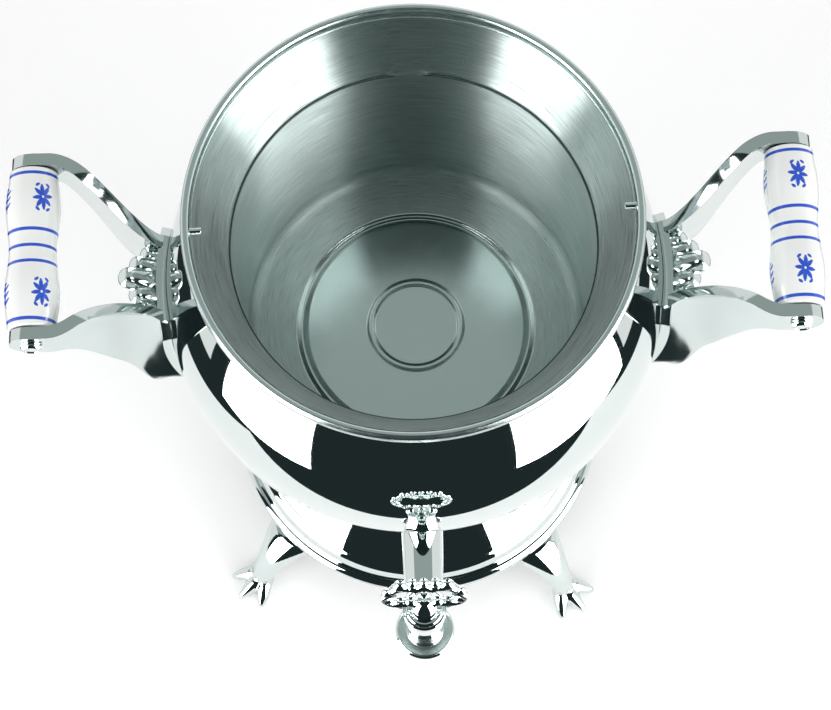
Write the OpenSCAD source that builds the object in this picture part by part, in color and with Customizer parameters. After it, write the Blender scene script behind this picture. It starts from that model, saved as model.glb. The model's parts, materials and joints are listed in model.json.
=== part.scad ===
// Electric samovar: round chromed belly, open brushed tank, porcelain grips, plug tap and claw feet.
// Units are millimetres. The table is the plane z = 0 and the tap points along -Y.

/* [Base and feet] */
// Height of the base's underside above the table
foot_h = 41; // [38:1:50]
// Length of the middle toe beyond the ankle
toe_l = 18; // [14:0.5:24]
// Angle between neighbouring toes
toe_angle = 38; // [32:1:44]
// Radius of the rubber pad under each paw
pad_r = 5; // [4:0.5:6]
// Thickness of the rubber pad
pad_t = 1.5; // [1:0.1:2.5]
// Turn of the feet about the body's axis
feet_turn = -4; // [-8:0.5:8]
// Outer radius of the bead round the base
base_r = 95.5; // [94:0.5:100]
// Height of the base from its underside to the top of its dome
base_h = 100; // [95:1:108]
// Wall of the base
base_wall = 1.6; // [1.2:0.1:2]
// Radius of the dome's flat top
dome_top_r = 46; // [44:1:50]
// Thickness of the bottom cover
cover_t = 2; // [1.5:0.1:3]
// How far the bottom cover's edge stands in from the bead
cover_in = 16; // [15:0.5:18]

/* [Body] */
// Outer radius of the round belly
belly_r = 114; // [112:0.5:118]
// Radius of the flat that the belly stands on
waist_r = 40; // [36:1:43]
// Height of the ring between base and belly
waist_h = 9; // [6:0.5:12]
// Height of the neck's start above the belly's centre
neck_rise = 65; // [63:0.5:67]
// Height of the rim above the belly's centre
rim_rise = 89; // [88:0.5:96]
// Wall of the belly shell
shell_wall = 1; // [0.8:0.1:1.2]

/* [Rim and tank] */
// How far the rim's edge stands in from the belly's widest round
rim_in = 14; // [11:0.5:16]
// Width of the rim
rim_w = 4; // [3.2:0.1:4.4]
// Overhang of the rim beyond the shell's neck
rim_over = 1.8; // [1.2:0.1:2]
// Depth of the lid seat below the rim
seat_depth = 6; // [5:0.5:7]
// Width of the ledge that carries a lid
ledge_w = 0.5; // [0.3:0.1:0.9]
// Height of the sloping funnel
funnel_h = 28.7; // [26:0.1:32]
// How far the funnel narrows
funnel_run = 14.2; // [13:0.1:15]
// Wall of the rim collar
collar_wall = 1; // [0.8:0.1:1.1]
// Step from the funnel in to the tank
seam_step = 0.6; // [0.3:0.1:0.7]
// Wall of the tank
tank_wall = 1; // [0.9:0.1:1.4]
// Depth of the tank below the funnel
tank_depth = 113.3; // [100:0.1:118]
// Radius of the round corner at the tank's floor
tank_corner = 7; // [5:0.5:10]
// Thickness of the tank's floor
floor_t = 3; // [2.5:0.1:4]
// How far the pressed groove stands in from the tank's wall
groove_in = 23.1; // [18:0.1:25]
// Width of the pressed groove
groove_w = 6.2; // [4:0.1:7]
// Depth of the pressed groove
groove_d = 1.4; // [1:0.1:1.8]
// Mean radius of the raised ring in the floor
ring_r = 21.5; // [18:0.1:26]
// Width of the raised ring
ring_w = 3.6; // [2.6:0.1:5]
// Height of the raised ring
ring_h = 0.9; // [0.6:0.1:1.5]
// Radius of the two lid pins
lid_pin_r = 1.5; // [1:0.1:1.8]
// Reach of the lid pins into the seat
lid_pin_reach = 5; // [4:0.2:7]
// Turn of the lid pins from the handles' line
lid_pin_turn = 1.8; // [-4:0.2:4]

/* [Heater and stay] */
// Radius of the aluminium heater plate
heater_r = 50; // [46:1:60]
// Thickness of the heater plate
heater_t = 9; // [8:0.5:12]
// Mean radius of the tubular element
element_r = 38; // [34:1:42]
// Section radius of the tubular element
element_tube = 4.2; // [3.4:0.1:4.6]
// Radius of the tie rod that holds tank, belly and base together
rod_r = 4; // [3:0.5:5]
// Gap between the heat shield's edge and the belly's wall
shield_room = 14.1; // [10:0.1:20]
// Height of the gap between heater plate and heat shield
shield_gap = 16; // [14:1:20]

/* [Tap] */
// Distance from the belly's widest round to the tap's plug
tap_out = 31; // [28:1:38]
// Height of the water way above the tank's floor
tap_rise = 13; // [12:0.5:18]
// Mean outer radius of the tap's shank
shank_r = 9.5; // [9:0.1:10.5]
// Radius of the water way
water_r = 3.6; // [3:0.1:4]
// Outer radius of the tap's barrel
barrel_r = 9.5; // [9:0.1:10.5]
// Radius of the tap's plug
plug_r = 6; // [5.5:0.1:6.5]
// Radius of the plug's stem
stem_r = 3.6; // [3:0.1:4]
// Radius of the nozzle's skirt
skirt_r = 14; // [12:0.1:15]
// Radius of the nozzle's outlet
outlet_r = 5; // [4.4:0.1:5.4]
// Width of the key's ornament
key_w = 39; // [36:0.5:44]
// Thickness of the key's ornament
key_t = 5; // [4.4:0.1:6]

/* [Handles] */
// Distance from the belly's widest round to the axis of a grip
grip_out = 53.4; // [48:0.1:58]
// Depth of the grips' axis below the rim
grip_drop = 32.5; // [30:0.1:36]
// Length of a porcelain grip
grip_l = 73.6; // [70:0.2:78]
// Largest radius of a grip
grip_r = 12.3; // [11.6:0.1:13]
// Radius of a grip at its waist
grip_waist_r = 10.6; // [10:0.1:11]
// Radius of the rod through a grip
grip_rod_r = 2.5; // [2:0.1:3]
// Thickness of the washers at a grip's ends
washer_t = 0.7; // [0.5:0.1:1.2]
// Thickness of a handle's arms
arm_t = 5.5; // [5:0.1:6.5]
// Half distance between the middles of the arms at the belly
arm_root_y = 15.5; // [14:0.5:18]
// Depth of an arm's top edge below the rim, at the belly
arm_root_top = 77; // [73:1:81]
// Depth of an arm's lower edge below the rim, at the belly
arm_root_low = 126; // [120:1:132]
// Lean of the arms away from each other towards their lower edges
arm_lean = 3.5; // [0:0.5:6]
// Depth of an arm's top edge below the rim, at the grip
arm_tip_top = 23; // [21.5:0.5:25]
// Depth of an arm's lower edge below the rim, at the grip
arm_tip_low = 42.5; // [41:0.5:46]
// Thickness of the plate that hugs the belly
plate_t = 4.5; // [3.6:0.1:6]
// Width of the plate that hugs the belly, at its top
plate_w = 53; // [50:1:58]
// Width of the plate that hugs the belly, at its foot
plate_foot_w = 62; // [58:1:66]
// Length of the middle petal between the arms
petal_l = 26; // [22:0.5:28]

/* [Control and gland] */
// Height of the control's axis above the base's underside
control_rise = 41; // [38:0.5:44]
// How far the face of the control's boss stands in from the bead
control_back = 11.5; // [7.5:0.5:13.5]
// Radius of the control's boss
boss_r = 17; // [15:0.5:18]
// Depth of the control's boss
boss_l = 32; // [30:0.5:36]
// Radius of the control knob
knob_r = 13; // [11:0.5:15]
// Depth of the control knob
knob_t = 12; // [10:0.5:15]
// Radius of the control's shaft
shaft_r = 3; // [2.5:0.1:3.5]
// Radius of the pilot lamp's lens
lamp_r = 4.5; // [3.5:0.1:5]
// Distance of the pilot lamp from the middle plane
lamp_x = 27; // [25:0.5:30]
// Radius of the hole for a lead in the gland
gland_hole_r = 3.5; // [3:0.1:4]
// Outer radius of the gland
gland_r = 8; // [7:0.1:9]

/* [Hidden] */
$fn = 96;

// Clearances: running fit on a radius, close fit on a radius, room at an end, and overrun of a cut
run = 0.06;
fit = 0.1;
room = 0.3;
past = 1;

// Heights above the table
waist_z = foot_h + base_h;
shell_z = waist_z + waist_h;
belly_z = shell_z + sqrt(belly_r * belly_r - waist_r * waist_r);
rim_z = belly_z + rim_rise;
seat_z = rim_z - seat_depth;
seam_z = seat_z - funnel_h;
floor_z = seam_z - tank_depth;
heater_z = floor_z - floor_t;
element_z = heater_z - heater_t;
shield_z = element_z - shield_gap;
tap_z = floor_z + tap_rise;
grip_z = rim_z - grip_drop;
control_z = foot_h + control_rise;

// Radii and distances from the body's axis
rim_r = belly_r - rim_in;
seat_r = rim_r - rim_w;
collar_r = rim_r - rim_over;
funnel_top_r = seat_r - ledge_w;
seam_r = funnel_top_r - funnel_run;
tank_r = seam_r - seam_step;
groove_r = tank_r - groove_in;
shield_r = ball_x(belly_r - shell_wall, shield_z) - shield_room;
tap_reach = belly_r + tap_out;
grip_x = belly_r + grip_out;
cover_r = base_r - cover_in;
control_face = base_r - control_back;
control_in = control_face - boss_l;
gland_y = control_in + gland_r / 2;

// Points of a cubic curve, the ease of an S curve, and points of an arc
function cubic(a, b, c, d, n = 10) = [for (i = [0:n]) let (t = i / n, s = 1 - t)
    s * s * s * a + 3 * s * s * t * b + 3 * s * t * t * c + t * t * t * d];
function ease(x) = let (t = max(0, min(1, x))) t * t * (3 - 2 * t);
function between(x, a, b) = ease((x - a) / (b - a));
function arc(c, r, a0, a1, n = 12) = [for (i = [0:n]) let (a = a0 + (a1 - a0) * i / n)
    c + r * [cos(a), sin(a)]];
function unit(v) = v / norm(v);
function flip(p) = [for (i = [len(p) - 1:-1:0]) p[i]];

// Solid over a row of rings, each turning the same way about the row
module skin(rings) {
    n = len(rings);
    m = len(rings[0]);
    last = (n - 1) * m;
    sides = [for (i = [0:n - 2], k = [0:m - 1]) let (a = i * m + k, b = i * m + (k + 1) % m)
        each [[a, a + m, b], [b, a + m, b + m]]];
    ends = [for (k = [1:m - 2]) each [[0, k, k + 1], [last, last + k + 1, last + k]]];
    polyhedron([for (ring = rings) each ring], concat(sides, ends));
}

// Belly shell

shell_end_z = belly_z + neck_rise;
shell_floor_r = waist_r * 0.55;
neck_soft = 3;
rim_soft = 7.5;
function ball_x(r, z) = sqrt(r * r - (z - belly_z) * (z - belly_z));

module shell_profile(r, rim) {
    top_r = ball_x(r, shell_end_z);
    lean = neck_rise / top_r;
    neck = cubic([top_r, shell_end_z], [top_r - lean * neck_soft * 2 / 3, shell_end_z + neck_soft],
        [rim - rim_soft / 2, seat_z - rim_soft], [rim, seat_z], 8);
    ball = arc([0, belly_z], r, -acos(waist_r / r), acos(top_r / r), 40);
    polygon(concat([[0, ball[0][1]]], ball, [for (i = [1:8]) neck[i]], [[0, seat_z]]));
}

module outer_shell() color("silver") difference() {
    rotate_extrude() shell_profile(belly_r, collar_r);
    rotate_extrude() difference() {
        shell_profile(belly_r - shell_wall, collar_r - shell_wall);
        square([belly_r, shell_z + shell_wall]);
    }
    translate([0, 0, seat_z - fit]) cylinder(r = collar_r - shell_wall, h = past);
    translate([0, 0, shell_z - past]) cylinder(r = shell_floor_r, h = shell_wall + 2 * past);
    along_tap(0) cylinder(r = shank_r + shank_taper + fit, h = belly_r + past);
    bolt_ways(0, belly_r + past, bolt_r + fit);
}

// Rim collar, lid pins and tank

cone_shift = collar_wall * sqrt(1 + pow(funnel_run / funnel_h, 2));
lip_round = rim_w / 2;
rim_bevel = 1;

module rim_collar() color("gainsboro") difference() {
    rotate_extrude() polygon(concat(
        [[seam_r, seam_z], [funnel_top_r, seat_z], [seat_r, seat_z]],
        arc([seat_r + lip_round, rim_z - lip_round], lip_round, 180, 90, 6),
        arc([rim_r - lip_round, rim_z - lip_round], lip_round, 90, 0, 6),
        [[rim_r, seat_z + rim_bevel], [rim_r - rim_bevel, seat_z], [funnel_top_r + cone_shift, seat_z],
        [seam_r + cone_shift, seam_z]]));
    lid_pins_at();
}

module lid_pins_at() for (side = [0, 180]) rotate(side + lid_pin_turn)
    translate([seat_r - lid_pin_reach, 0, seat_z + lid_pin_r + room])
        rotate([0, 90, 0]) cylinder(r = lid_pin_r, h = lid_pin_reach + rim_w / 2);

module lid_pins() color("gray") lid_pins_at();

floor_edge = 4;

module tank_body() rotate_extrude() polygon(concat(
    [[0, floor_z], [ring_r - ring_w / 2, floor_z], [ring_r - ring_w / 4, floor_z + ring_h],
    [ring_r + ring_w / 4, floor_z + ring_h], [ring_r + ring_w / 2, floor_z],
    [groove_r - groove_w, floor_z], [groove_r - groove_w + groove_d, floor_z - groove_d],
    [groove_r - groove_d, floor_z - groove_d], [groove_r, floor_z]],
    arc([tank_r - tank_corner, floor_z + tank_corner], tank_corner, -90, 0, 8),
    [[tank_r, seam_z], [tank_r + tank_wall, seam_z]],
    arc([tank_r - tank_corner, floor_z + tank_corner], tank_corner + tank_wall, 0, -80, 8),
    [[tank_r - tank_corner - floor_edge, heater_z], [0, heater_z]]));

module inner_tank() color("lightgray") difference() {
    tank_body();
    along_tap(0) cylinder(r = thread_r + fit, h = tank_r + tank_wall + past);
}

// Base

// Breaks of the base's outline: how far in from the bead and how high above the underside
dome_foot = [23.5, 35];
brim = [10, 20];
step_edge = [8.1, 18.2];
drum = [4.3, 9.5];
bead_r = 3.7;
dome_flank = 33;
dome_sweep = 12;
drum_soft = 3.5;
flange_t = 2;
flange_w = 6.5;
flange_in_r = cover_r - flange_w;
loom_hole_r = dome_top_r - 16;
function base_at(p) = [base_r - p[0], foot_h + p[1]];
outer_line = concat(
    cubic([dome_top_r, waist_z], [dome_top_r, waist_z - dome_flank],
        base_at(dome_foot + [dome_sweep, dome_sweep]), base_at(dome_foot), 12),
    [base_at(brim)],
    cubic(base_at(step_edge), base_at(step_edge - [drum_soft / 2, drum_soft / 3]),
        base_at(drum + [0, drum_soft]), base_at(drum), 5),
    arc([base_r - bead_r, foot_h + bead_r + fit], bead_r, 85, -80, 10));
inner_line = concat(
    cubic([dome_top_r - base_wall, waist_z - base_wall], [dome_top_r - base_wall, waist_z - dome_flank],
        base_at(dome_foot + [dome_sweep + base_wall, dome_sweep - base_wall]),
        base_at(dome_foot + [base_wall, -base_wall]), 12),
    [base_at(brim + [base_wall, -base_wall]), base_at(drum + [2 * base_wall, 0]),
    base_at([drum[0] + 2 * base_wall, flange_t])]);

module base_dome() color("silver") difference() {
    rotate_extrude() polygon(concat([[loom_hole_r, waist_z]], outer_line,
        [[base_r - bead_r - room, foot_h], [flange_in_r, foot_h], [flange_in_r, foot_h + flange_t]],
        flip(inner_line), [[loom_hole_r, waist_z - base_wall]]));
    back_way(0, control_face + past, boss_r + fit);
    back_way(lamp_x, lamp_out + past, lamp_r + fit);
    foot_screw_holes(screw_r + fit);
    cover_screw_holes(cover_screw_r + fit);
}

module waist_ring() color("gainsboro") rotate_extrude() polygon(concat(
    [[loom_hole_r, waist_z]],
    arc([waist_r + past, waist_z + waist_h / 2], waist_h / 2, -90, 90, 12),
    [[loom_hole_r, shell_z]]));

module bottom_cover() color("dimgray") difference() {
    translate([0, 0, foot_h - cover_t]) cylinder(r = cover_r, h = cover_t);
    translate([0, 0, foot_h - cover_t - past]) cylinder(r = rod_r + fit, h = cover_t + 2 * past);
    cover_screw_holes(cover_screw_r + fit);
    translate([0, gland_y, 0]) cylinder(r = gland_r + fit, h = foot_h + past);
}

cover_screw_r = 1.5;
cover_screw_l = 6;
cover_head_h = 1.6;
cover_screw_turn = 23;

module cover_screw_places() for (i = [0:3]) rotate(90 * i + feet_turn + cover_screw_turn)
    translate([(flange_in_r + cover_r) / 2, 0, foot_h - cover_t]) children();

module cover_screw_holes(r) cover_screw_places() translate([0, 0, -past])
    cylinder(r = r, h = cover_screw_l + 2 * past);

module cover_screws() color("gray") cover_screw_places() {
    cylinder(r = cover_screw_r, h = cover_screw_l);
    translate([0, 0, -cover_head_h]) cylinder(r = cover_screw_r * 2, h = cover_head_h);
}

// Feet

root_in = 8.5;
root_r = base_r - root_in;
paw_z = 4.2;
toe_r = 4.6;
claw_r = 3.4;
knuckle_at = 0.55;
knuckle_rise = 1;
toe_spread = 2;
screw_r = 2;
screw_in = 3;
screw_l = 9;
screw_head_h = 3;

// Sections down the leg: distance out from the root, depth below it, half width and half depth
leg_rings = [[0, 0, 14.5, 7], [8, 7, 13, 7], [16, 14, 9.5, 6.5], [23, 22, 7, 5.5], [27, 30, 6.4, 5.2],
    [31, foot_h - paw_z, 7, 4]];
leg_sides = 16;
ankle_x = root_r + leg_rings[4][0];
pad_x = root_r + leg_rings[5][0];
function leg_way(i) = i == 0 ? [0, -1] : let (a = leg_rings[i - 1],
    b = leg_rings[min(i + 1, len(leg_rings) - 1)]) unit([b[0] - a[0], a[1] - b[1]]);

module leg() skin([for (i = [0:len(leg_rings) - 1]) let (g = leg_rings[i], w = leg_way(i))
    [for (k = [0:leg_sides - 1]) let (a = -360 * k / leg_sides)
        [root_r + g[0] - w[1] * g[3] * cos(a), g[2] * sin(a), foot_h - g[1] + w[0] * g[3] * cos(a)]]]);

module toe(length) {
    rotate([0, 90, 0]) cylinder(r1 = toe_r, r2 = claw_r, h = length - claw_r, $fn = 32);
    translate([length * knuckle_at, 0, knuckle_rise]) sphere(r = toe_r, $fn = 32);
    translate([length - claw_r, 0, 0]) sphere(r = claw_r, $fn = 32);
}

module foot_places() for (i = [0:3]) rotate(45 + 90 * i + feet_turn) children();

module foot_screw_holes(r) foot_places() translate([root_r - screw_in, 0, foot_h - screw_l - past])
    cylinder(r = r, h = 2 * screw_l);

module foot(turn) color("silver") difference() {
    rotate(turn + feet_turn) difference() {
        union() {
            leg();
            for (k = [-1:1]) translate([ankle_x, k * toe_spread, paw_z])
                rotate(k * toe_angle) toe(toe_l - abs(k) * toe_spread);
        }
        translate([0, -base_r, -base_r]) cube([2 * base_r, 2 * base_r, base_r + pad_t / 2]);
        translate([pad_x, 0, -past]) cylinder(r = pad_r, h = pad_t + past);
    }
    foot_screw_holes(screw_r + fit);
}

module foot_front_left() foot(-135);
module foot_front_right() foot(-45);
module foot_rear_left() foot(135);
module foot_rear_right() foot(45);

module foot_screws() color("gray") foot_places() translate([root_r - screw_in, 0, foot_h - screw_l]) {
    cylinder(r = screw_r, h = screw_l + flange_t);
    translate([0, 0, screw_l + flange_t]) cylinder(r = screw_r * 2, h = screw_head_h);
}

module foot_pads() color("black") foot_places() translate([pad_x, 0, 0]) cylinder(r = pad_r, h = pad_t);

// Heater, stay and wiring

rod_sink = 2;
element_gap = 30;
terminal_r = 2;
terminal_l = 12;
cutout_r = 8;
cutout_h = 7;
cutout_y = 20;
shield_t = 0.8;
shield_rim = 6;
shield_slot = [40, 26];
nut_h = 6;
nut_wide = 1.9;
rod_tail = 3;

module heater_plate() color("darkgray") difference() {
    translate([0, 0, element_z]) cylinder(r = heater_r, h = heater_t);
    translate([0, 0, element_z]) rotate_extrude() translate([element_r, 0]) circle(r = element_tube + fit);
    translate([0, 0, element_z - past]) cylinder(r = rod_r + run, h = heater_t - rod_sink + past);
}

module heating_element() color("dimgray") translate([0, 0, element_z]) {
    rotate(element_gap / 2 - 90) rotate_extrude(angle = 360 - element_gap)
        translate([element_r, 0]) circle(r = element_tube);
    for (side = [-1, 1]) rotate(side * element_gap / 2 - 90)
        translate([element_r, 0, -terminal_l]) cylinder(r = terminal_r, h = terminal_l);
}

module thermal_cutout() color("black") translate([0, cutout_y, element_z - cutout_h])
    cylinder(r = cutout_r, h = cutout_h);

module heat_shield() color("silver") difference() {
    translate([0, 0, shield_z]) union() {
        cylinder(r = shield_r, h = shield_t);
        difference() {
            cylinder(r = shield_r, h = shield_rim);
            translate([0, 0, -past]) cylinder(r = shield_r - shield_t, h = shield_rim + 2 * past);
        }
    }
    translate([0, 0, shield_z - past]) cylinder(r = rod_r + fit, h = shield_t + 2 * past);
    translate([0, -element_r, shield_z]) cube([shield_slot[0], shield_slot[1], 4 * shield_t], center = true);
}

module tie_rod() color("gray") translate([0, 0, foot_h - cover_t - nut_h - rod_tail])
    cylinder(r = rod_r, h = heater_z - rod_sink - (foot_h - cover_t - nut_h - rod_tail));

module nut_at(z) translate([0, 0, z]) difference() {
    cylinder(r = rod_r * nut_wide, h = nut_h, $fn = 6);
    translate([0, 0, -past]) cylinder(r = rod_r + run, h = nut_h + 2 * past);
}

module tie_nuts() color("gray") {
    nut_at(foot_h - cover_t - nut_h);
    nut_at(shield_z - nut_h);
    nut_at(shield_z + shield_t);
    nut_at(element_z - nut_h);
}

stat_w = 30;
stat_d = 26;
shaft_sink = 10;

module thermostat() color("dimgray") difference() {
    translate([0, control_in - stat_d / 2, control_z]) cube([stat_w, stat_d, stat_d], center = true);
    translate([0, control_in + past, control_z]) rotate([90, 0, 0])
        cylinder(r = shaft_r + run, h = shaft_sink + 2 * past);
}

// Leads from the gland to the thermostat and on to the heating element
loom_r = 1.6;
loom_sides = 8;
loom_x = 4;
gland_in = 8;
stat_y = control_in - stat_d / 2;
end_x = element_r * sin(element_gap / 2);
end_y = -element_r * cos(element_gap / 2);
loom_paths = [
    [[-loom_x, gland_y, foot_h + gland_in], [-6, stat_y + stat_d / 2, control_z - 22],
        [-8, stat_y, control_z - stat_d / 2]],
    [[-8, stat_y, control_z + stat_d / 2], [-9, 24, waist_z - 29], [-10, 12, waist_z - 9],
        [-12, 0, shell_z + 2], [-14, -18, shield_z - 5], [-end_x, end_y, element_z - terminal_l]],
    [[loom_x, gland_y, foot_h + gland_in], [22, gland_y, control_z - 20], [24, 30, control_z + 10],
        [16, 14, waist_z - 15], [14, 2, shell_z + 2], [14, -18, shield_z - 5],
        [end_x, end_y, element_z - terminal_l]]];

function tangent(p, i) = unit(p[min(len(p) - 1, i + 1)] - p[max(0, i - 1)]);
function smooth(p, n = 4) = concat([for (i = [0:len(p) - 2], k = [0:n - 1]) let (t = k / n,
    a = p[max(0, i - 1)], b = p[i], c = p[i + 1], d = p[min(len(p) - 1, i + 2)])
    0.5 * (2 * b + (c - a) * t + (2 * a - 5 * b + 4 * c - d) * t * t
        + (3 * b - a - 3 * c + d) * t * t * t)], [p[len(p) - 1]]);

module tube(path, r, m) {
    p = smooth(path);
    n = len(p);
    skin([for (i = [0:n - 1]) let (t = i == 0 || i == n - 1 ? [0, 0, 1] : tangent(p, i),
        u = unit(cross(t, [1, 0, 0.001])), v = cross(t, u))
        [for (k = [0:m - 1]) let (a = 360 * k / m) p[i] + r * (cos(a) * u + sin(a) * v)]]);
}

module wire_loom() color("darkred") for (path = loom_paths) tube(path, loom_r, loom_sides);

// Gland, control and pilot lamp

gland_flange = 3;
gland_wall = 2.5;
knob_grip_l = 8;
lamp_l = 16;
lamp_back = 10;
lamp_out = control_face - lamp_back;
pointer_w = 2;
pointer_h = 1.2;

module cord_gland() color("black") translate([0, gland_y, foot_h - cover_t]) difference() {
    union() {
        cylinder(r = gland_r, h = cover_t + gland_in);
        translate([0, 0, -gland_flange]) cylinder(r = gland_r + gland_flange, h = gland_flange);
    }
    translate([0, 0, -gland_flange - past])
        cylinder(r = gland_hole_r, h = cover_t + gland_in + gland_flange + past - gland_wall);
}

module back_way(x, y, r) translate([x, y, control_z]) rotate([90, 0, 0]) cylinder(r = r, h = y - base_r / 4);

module control_bezel() color("black") difference() {
    translate([0, control_face, control_z]) rotate([90, 0, 0]) cylinder(r = boss_r, h = boss_l);
    translate([0, control_face + past, control_z]) rotate([90, 0, 0])
        cylinder(r = shaft_r + run, h = boss_l + 2 * past);
}

module control_shaft() color("gray") translate([0, control_face + room + knob_grip_l, control_z])
    rotate([90, 0, 0]) cylinder(r = shaft_r, h = room + knob_grip_l + boss_l + shaft_sink);

module control_knob() color("black") translate([0, control_face + room, control_z]) rotate([-90, 0, 0])
    difference() {
        union() {
            cylinder(r = knob_r, h = knob_t * 0.4);
            cylinder(r = knob_r * 0.8, h = knob_t - pointer_h);
            translate([0, 0, knob_t - pointer_h])
                cylinder(r1 = knob_r * 0.8, r2 = knob_r * 0.72, h = pointer_h);
            translate([-pointer_w / 2, -knob_r * 0.8, knob_t - pointer_h])
                cube([pointer_w, knob_r * 0.8, pointer_h]);
        }
        translate([0, 0, -past]) cylinder(r = shaft_r, h = knob_grip_l + past);
    }

module pilot_lamp() color("orangered") translate([lamp_x, lamp_out, control_z]) rotate([-90, 0, 0]) {
    translate([0, 0, -lamp_l]) cylinder(r = lamp_r, h = lamp_l);
    intersection() {
        sphere(r = lamp_r);
        cylinder(r = lamp_r, h = lamp_r);
    }
}

// Tap

shank_taper = 0.5;
thread_r = 6.5;
thread_l = 4;
tap_nut_t = 5;
tap_nut_wide = 1.6;
gasket_t = 2;
barrel_drop = 15;
barrel_rise = 11;
plug_drop = 8;
bonnet_h = 4;
bonnet_rim = 3;
skirt_h = 18;
skirt_round = 1.5;
barrel_low = tap_z - barrel_drop;
barrel_high = tap_z + barrel_rise;
plug_low = tap_z - plug_drop;
bonnet_top = barrel_high + bonnet_h;
skirt_low = barrel_low - skirt_h;
socket_y = tap_reach - barrel_r - thread_l;
hub_z = bonnet_top + room;

module along_tap(y) translate([0, -y, tap_z]) rotate([90, 0, 0]) children();

module on_plug(z) translate([0, -tap_reach, z]) children();

module tap_shank() color("silver") difference() {
    union() {
        along_tap(tank_r + tank_wall + gasket_t) cylinder(r1 = shank_r + shank_taper,
            r2 = shank_r - shank_taper, h = socket_y - tank_r - tank_wall - gasket_t);
        along_tap(tank_r - gasket_t - tap_nut_t - gasket_t)
            cylinder(r = thread_r, h = tank_wall + 3 * gasket_t + tap_nut_t + past);
        along_tap(socket_y - past) cylinder(r = thread_r, h = thread_l + past);
    }
    along_tap(tank_r / 2) cylinder(r = water_r, h = tap_reach);
}

module tap_gaskets() color("firebrick") difference() {
    union() {
        along_tap(tank_r - gasket_t) cylinder(r = shank_r + past, h = gasket_t);
        along_tap(tank_r + tank_wall - gasket_t) cylinder(r = shank_r + past, h = 2 * gasket_t);
    }
    tank_body();
    along_tap(tank_r / 2) cylinder(r = thread_r + fit, h = tank_r);
}

module tap_nut() color("silver") difference() {
    along_tap(tank_r - gasket_t - tap_nut_t) cylinder(r = thread_r * tap_nut_wide, h = tap_nut_t, $fn = 6);
    along_tap(tank_r / 2) cylinder(r = thread_r + run, h = tank_r);
}

module tap_barrel() color("silver") difference() {
    union() {
        on_plug(barrel_low) cylinder(r = barrel_r, h = barrel_high - barrel_low);
        along_tap(socket_y) cylinder(r = shank_r - shank_taper, h = tap_reach - socket_y);
    }
    on_plug(plug_low) cylinder(r = plug_r + run, h = barrel_high - plug_low + past);
    on_plug(barrel_low - past) cylinder(r = water_r, h = barrel_high - barrel_low);
    along_tap(socket_y - past) cylinder(r = water_r, h = tap_reach - socket_y + past);
    along_tap(socket_y - past) cylinder(r = thread_r + fit, h = thread_l + past);
}

module tap_nozzle() color("silver") on_plug(0) rotate_extrude() polygon(concat(
    [[outlet_r, barrel_low]],
    cubic([barrel_r, barrel_low], [barrel_r, barrel_low - skirt_h * 0.4],
        [barrel_r, barrel_low - skirt_h * 0.67], [skirt_r, skirt_low + 2 * skirt_round], 8),
    arc([skirt_r - skirt_round, skirt_low + skirt_round], skirt_round, 0, -90, 4),
    [[outlet_r, skirt_low]]));

module tap_bonnet() color("silver") on_plug(0) rotate_extrude() polygon(concat(
    [[stem_r + run, barrel_high], [barrel_r + shank_taper, barrel_high],
    [barrel_r + shank_taper, barrel_high + bonnet_rim]],
    cubic([barrel_r - shank_taper, barrel_high + bonnet_rim], [barrel_r - shank_taper, bonnet_top],
        [stem_r + 2 * bonnet_rim, bonnet_top], [stem_r + bonnet_rim, bonnet_top], 6),
    [[stem_r + run, bonnet_top]]));

module tap_plug() color("goldenrod") difference() {
    union() {
        on_plug(plug_low + room) cylinder(r = plug_r, h = barrel_high - plug_low - 2 * room);
        on_plug(barrel_high - past) cylinder(r = stem_r, h = hub_z + hub_deep - barrel_high + past);
    }
    on_plug(plug_low - past) cylinder(r = water_r, h = tap_z - plug_low + past);
    on_plug(tap_z) rotate([0, 90, 0]) cylinder(r = water_r, h = plug_r + past);
}

hub_r = stem_r + 2.4;
hub_h = 9;
hub_deep = 8;
key_rise = 22;
key_bar = 4;
key_bury = 1;
bead_pin_r = 1.4;
bead_ball_r = 2;
bead_gap = 5;
bead_low = 8;
bead_l = 8;
key_mid = hub_z + key_rise;

// Rounds of the key's frame and its lobes: place across, height from its middle, and radius
key_rounds = [[key_w * 0.27, -3, 9.5], [key_w * 0.22, 5.5, 7.2], [0, -6, 8.5], [0, 6, 6.5]];
key_lobes = [[key_w * 0.423, -5, 3], [key_w * 0.413, 4, 2.8], [key_w * 0.27, 12.2, 3.2],
    [key_w * 0.27, -12.8, 2.6]];

module rounds(list, grow) for (side = [-1, 1], c = list)
    translate([side * c[0], c[1]]) circle(r = c[2] + grow);

module tap_key() color("silver") difference() {
    union() {
        on_plug(hub_z) cylinder(r = hub_r, h = hub_h);
        on_plug(hub_z + hub_h) intersection() {
            sphere(r = hub_r);
            cylinder(r = hub_r, h = hub_r);
        }
        on_plug(key_mid) translate([0, key_t / 2, 0]) rotate([90, 0, 0]) linear_extrude(key_t) {
            difference() {
                rounds(key_rounds, 0);
                rounds(key_rounds, -key_bar);
            }
            difference() {
                rounds(key_lobes, 0);
                rounds(key_rounds, -key_bury);
            }
        }
        for (side = [-1, 0, 1]) on_plug(key_mid + bead_low) translate([side * bead_gap, 0, 0]) {
            cylinder(r = bead_pin_r, h = bead_l);
            translate([0, 0, bead_l]) sphere(r = bead_ball_r, $fn = 32);
        }
    }
    on_plug(hub_z - past) cylinder(r = stem_r, h = hub_deep + past);
}

// Handles

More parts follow.
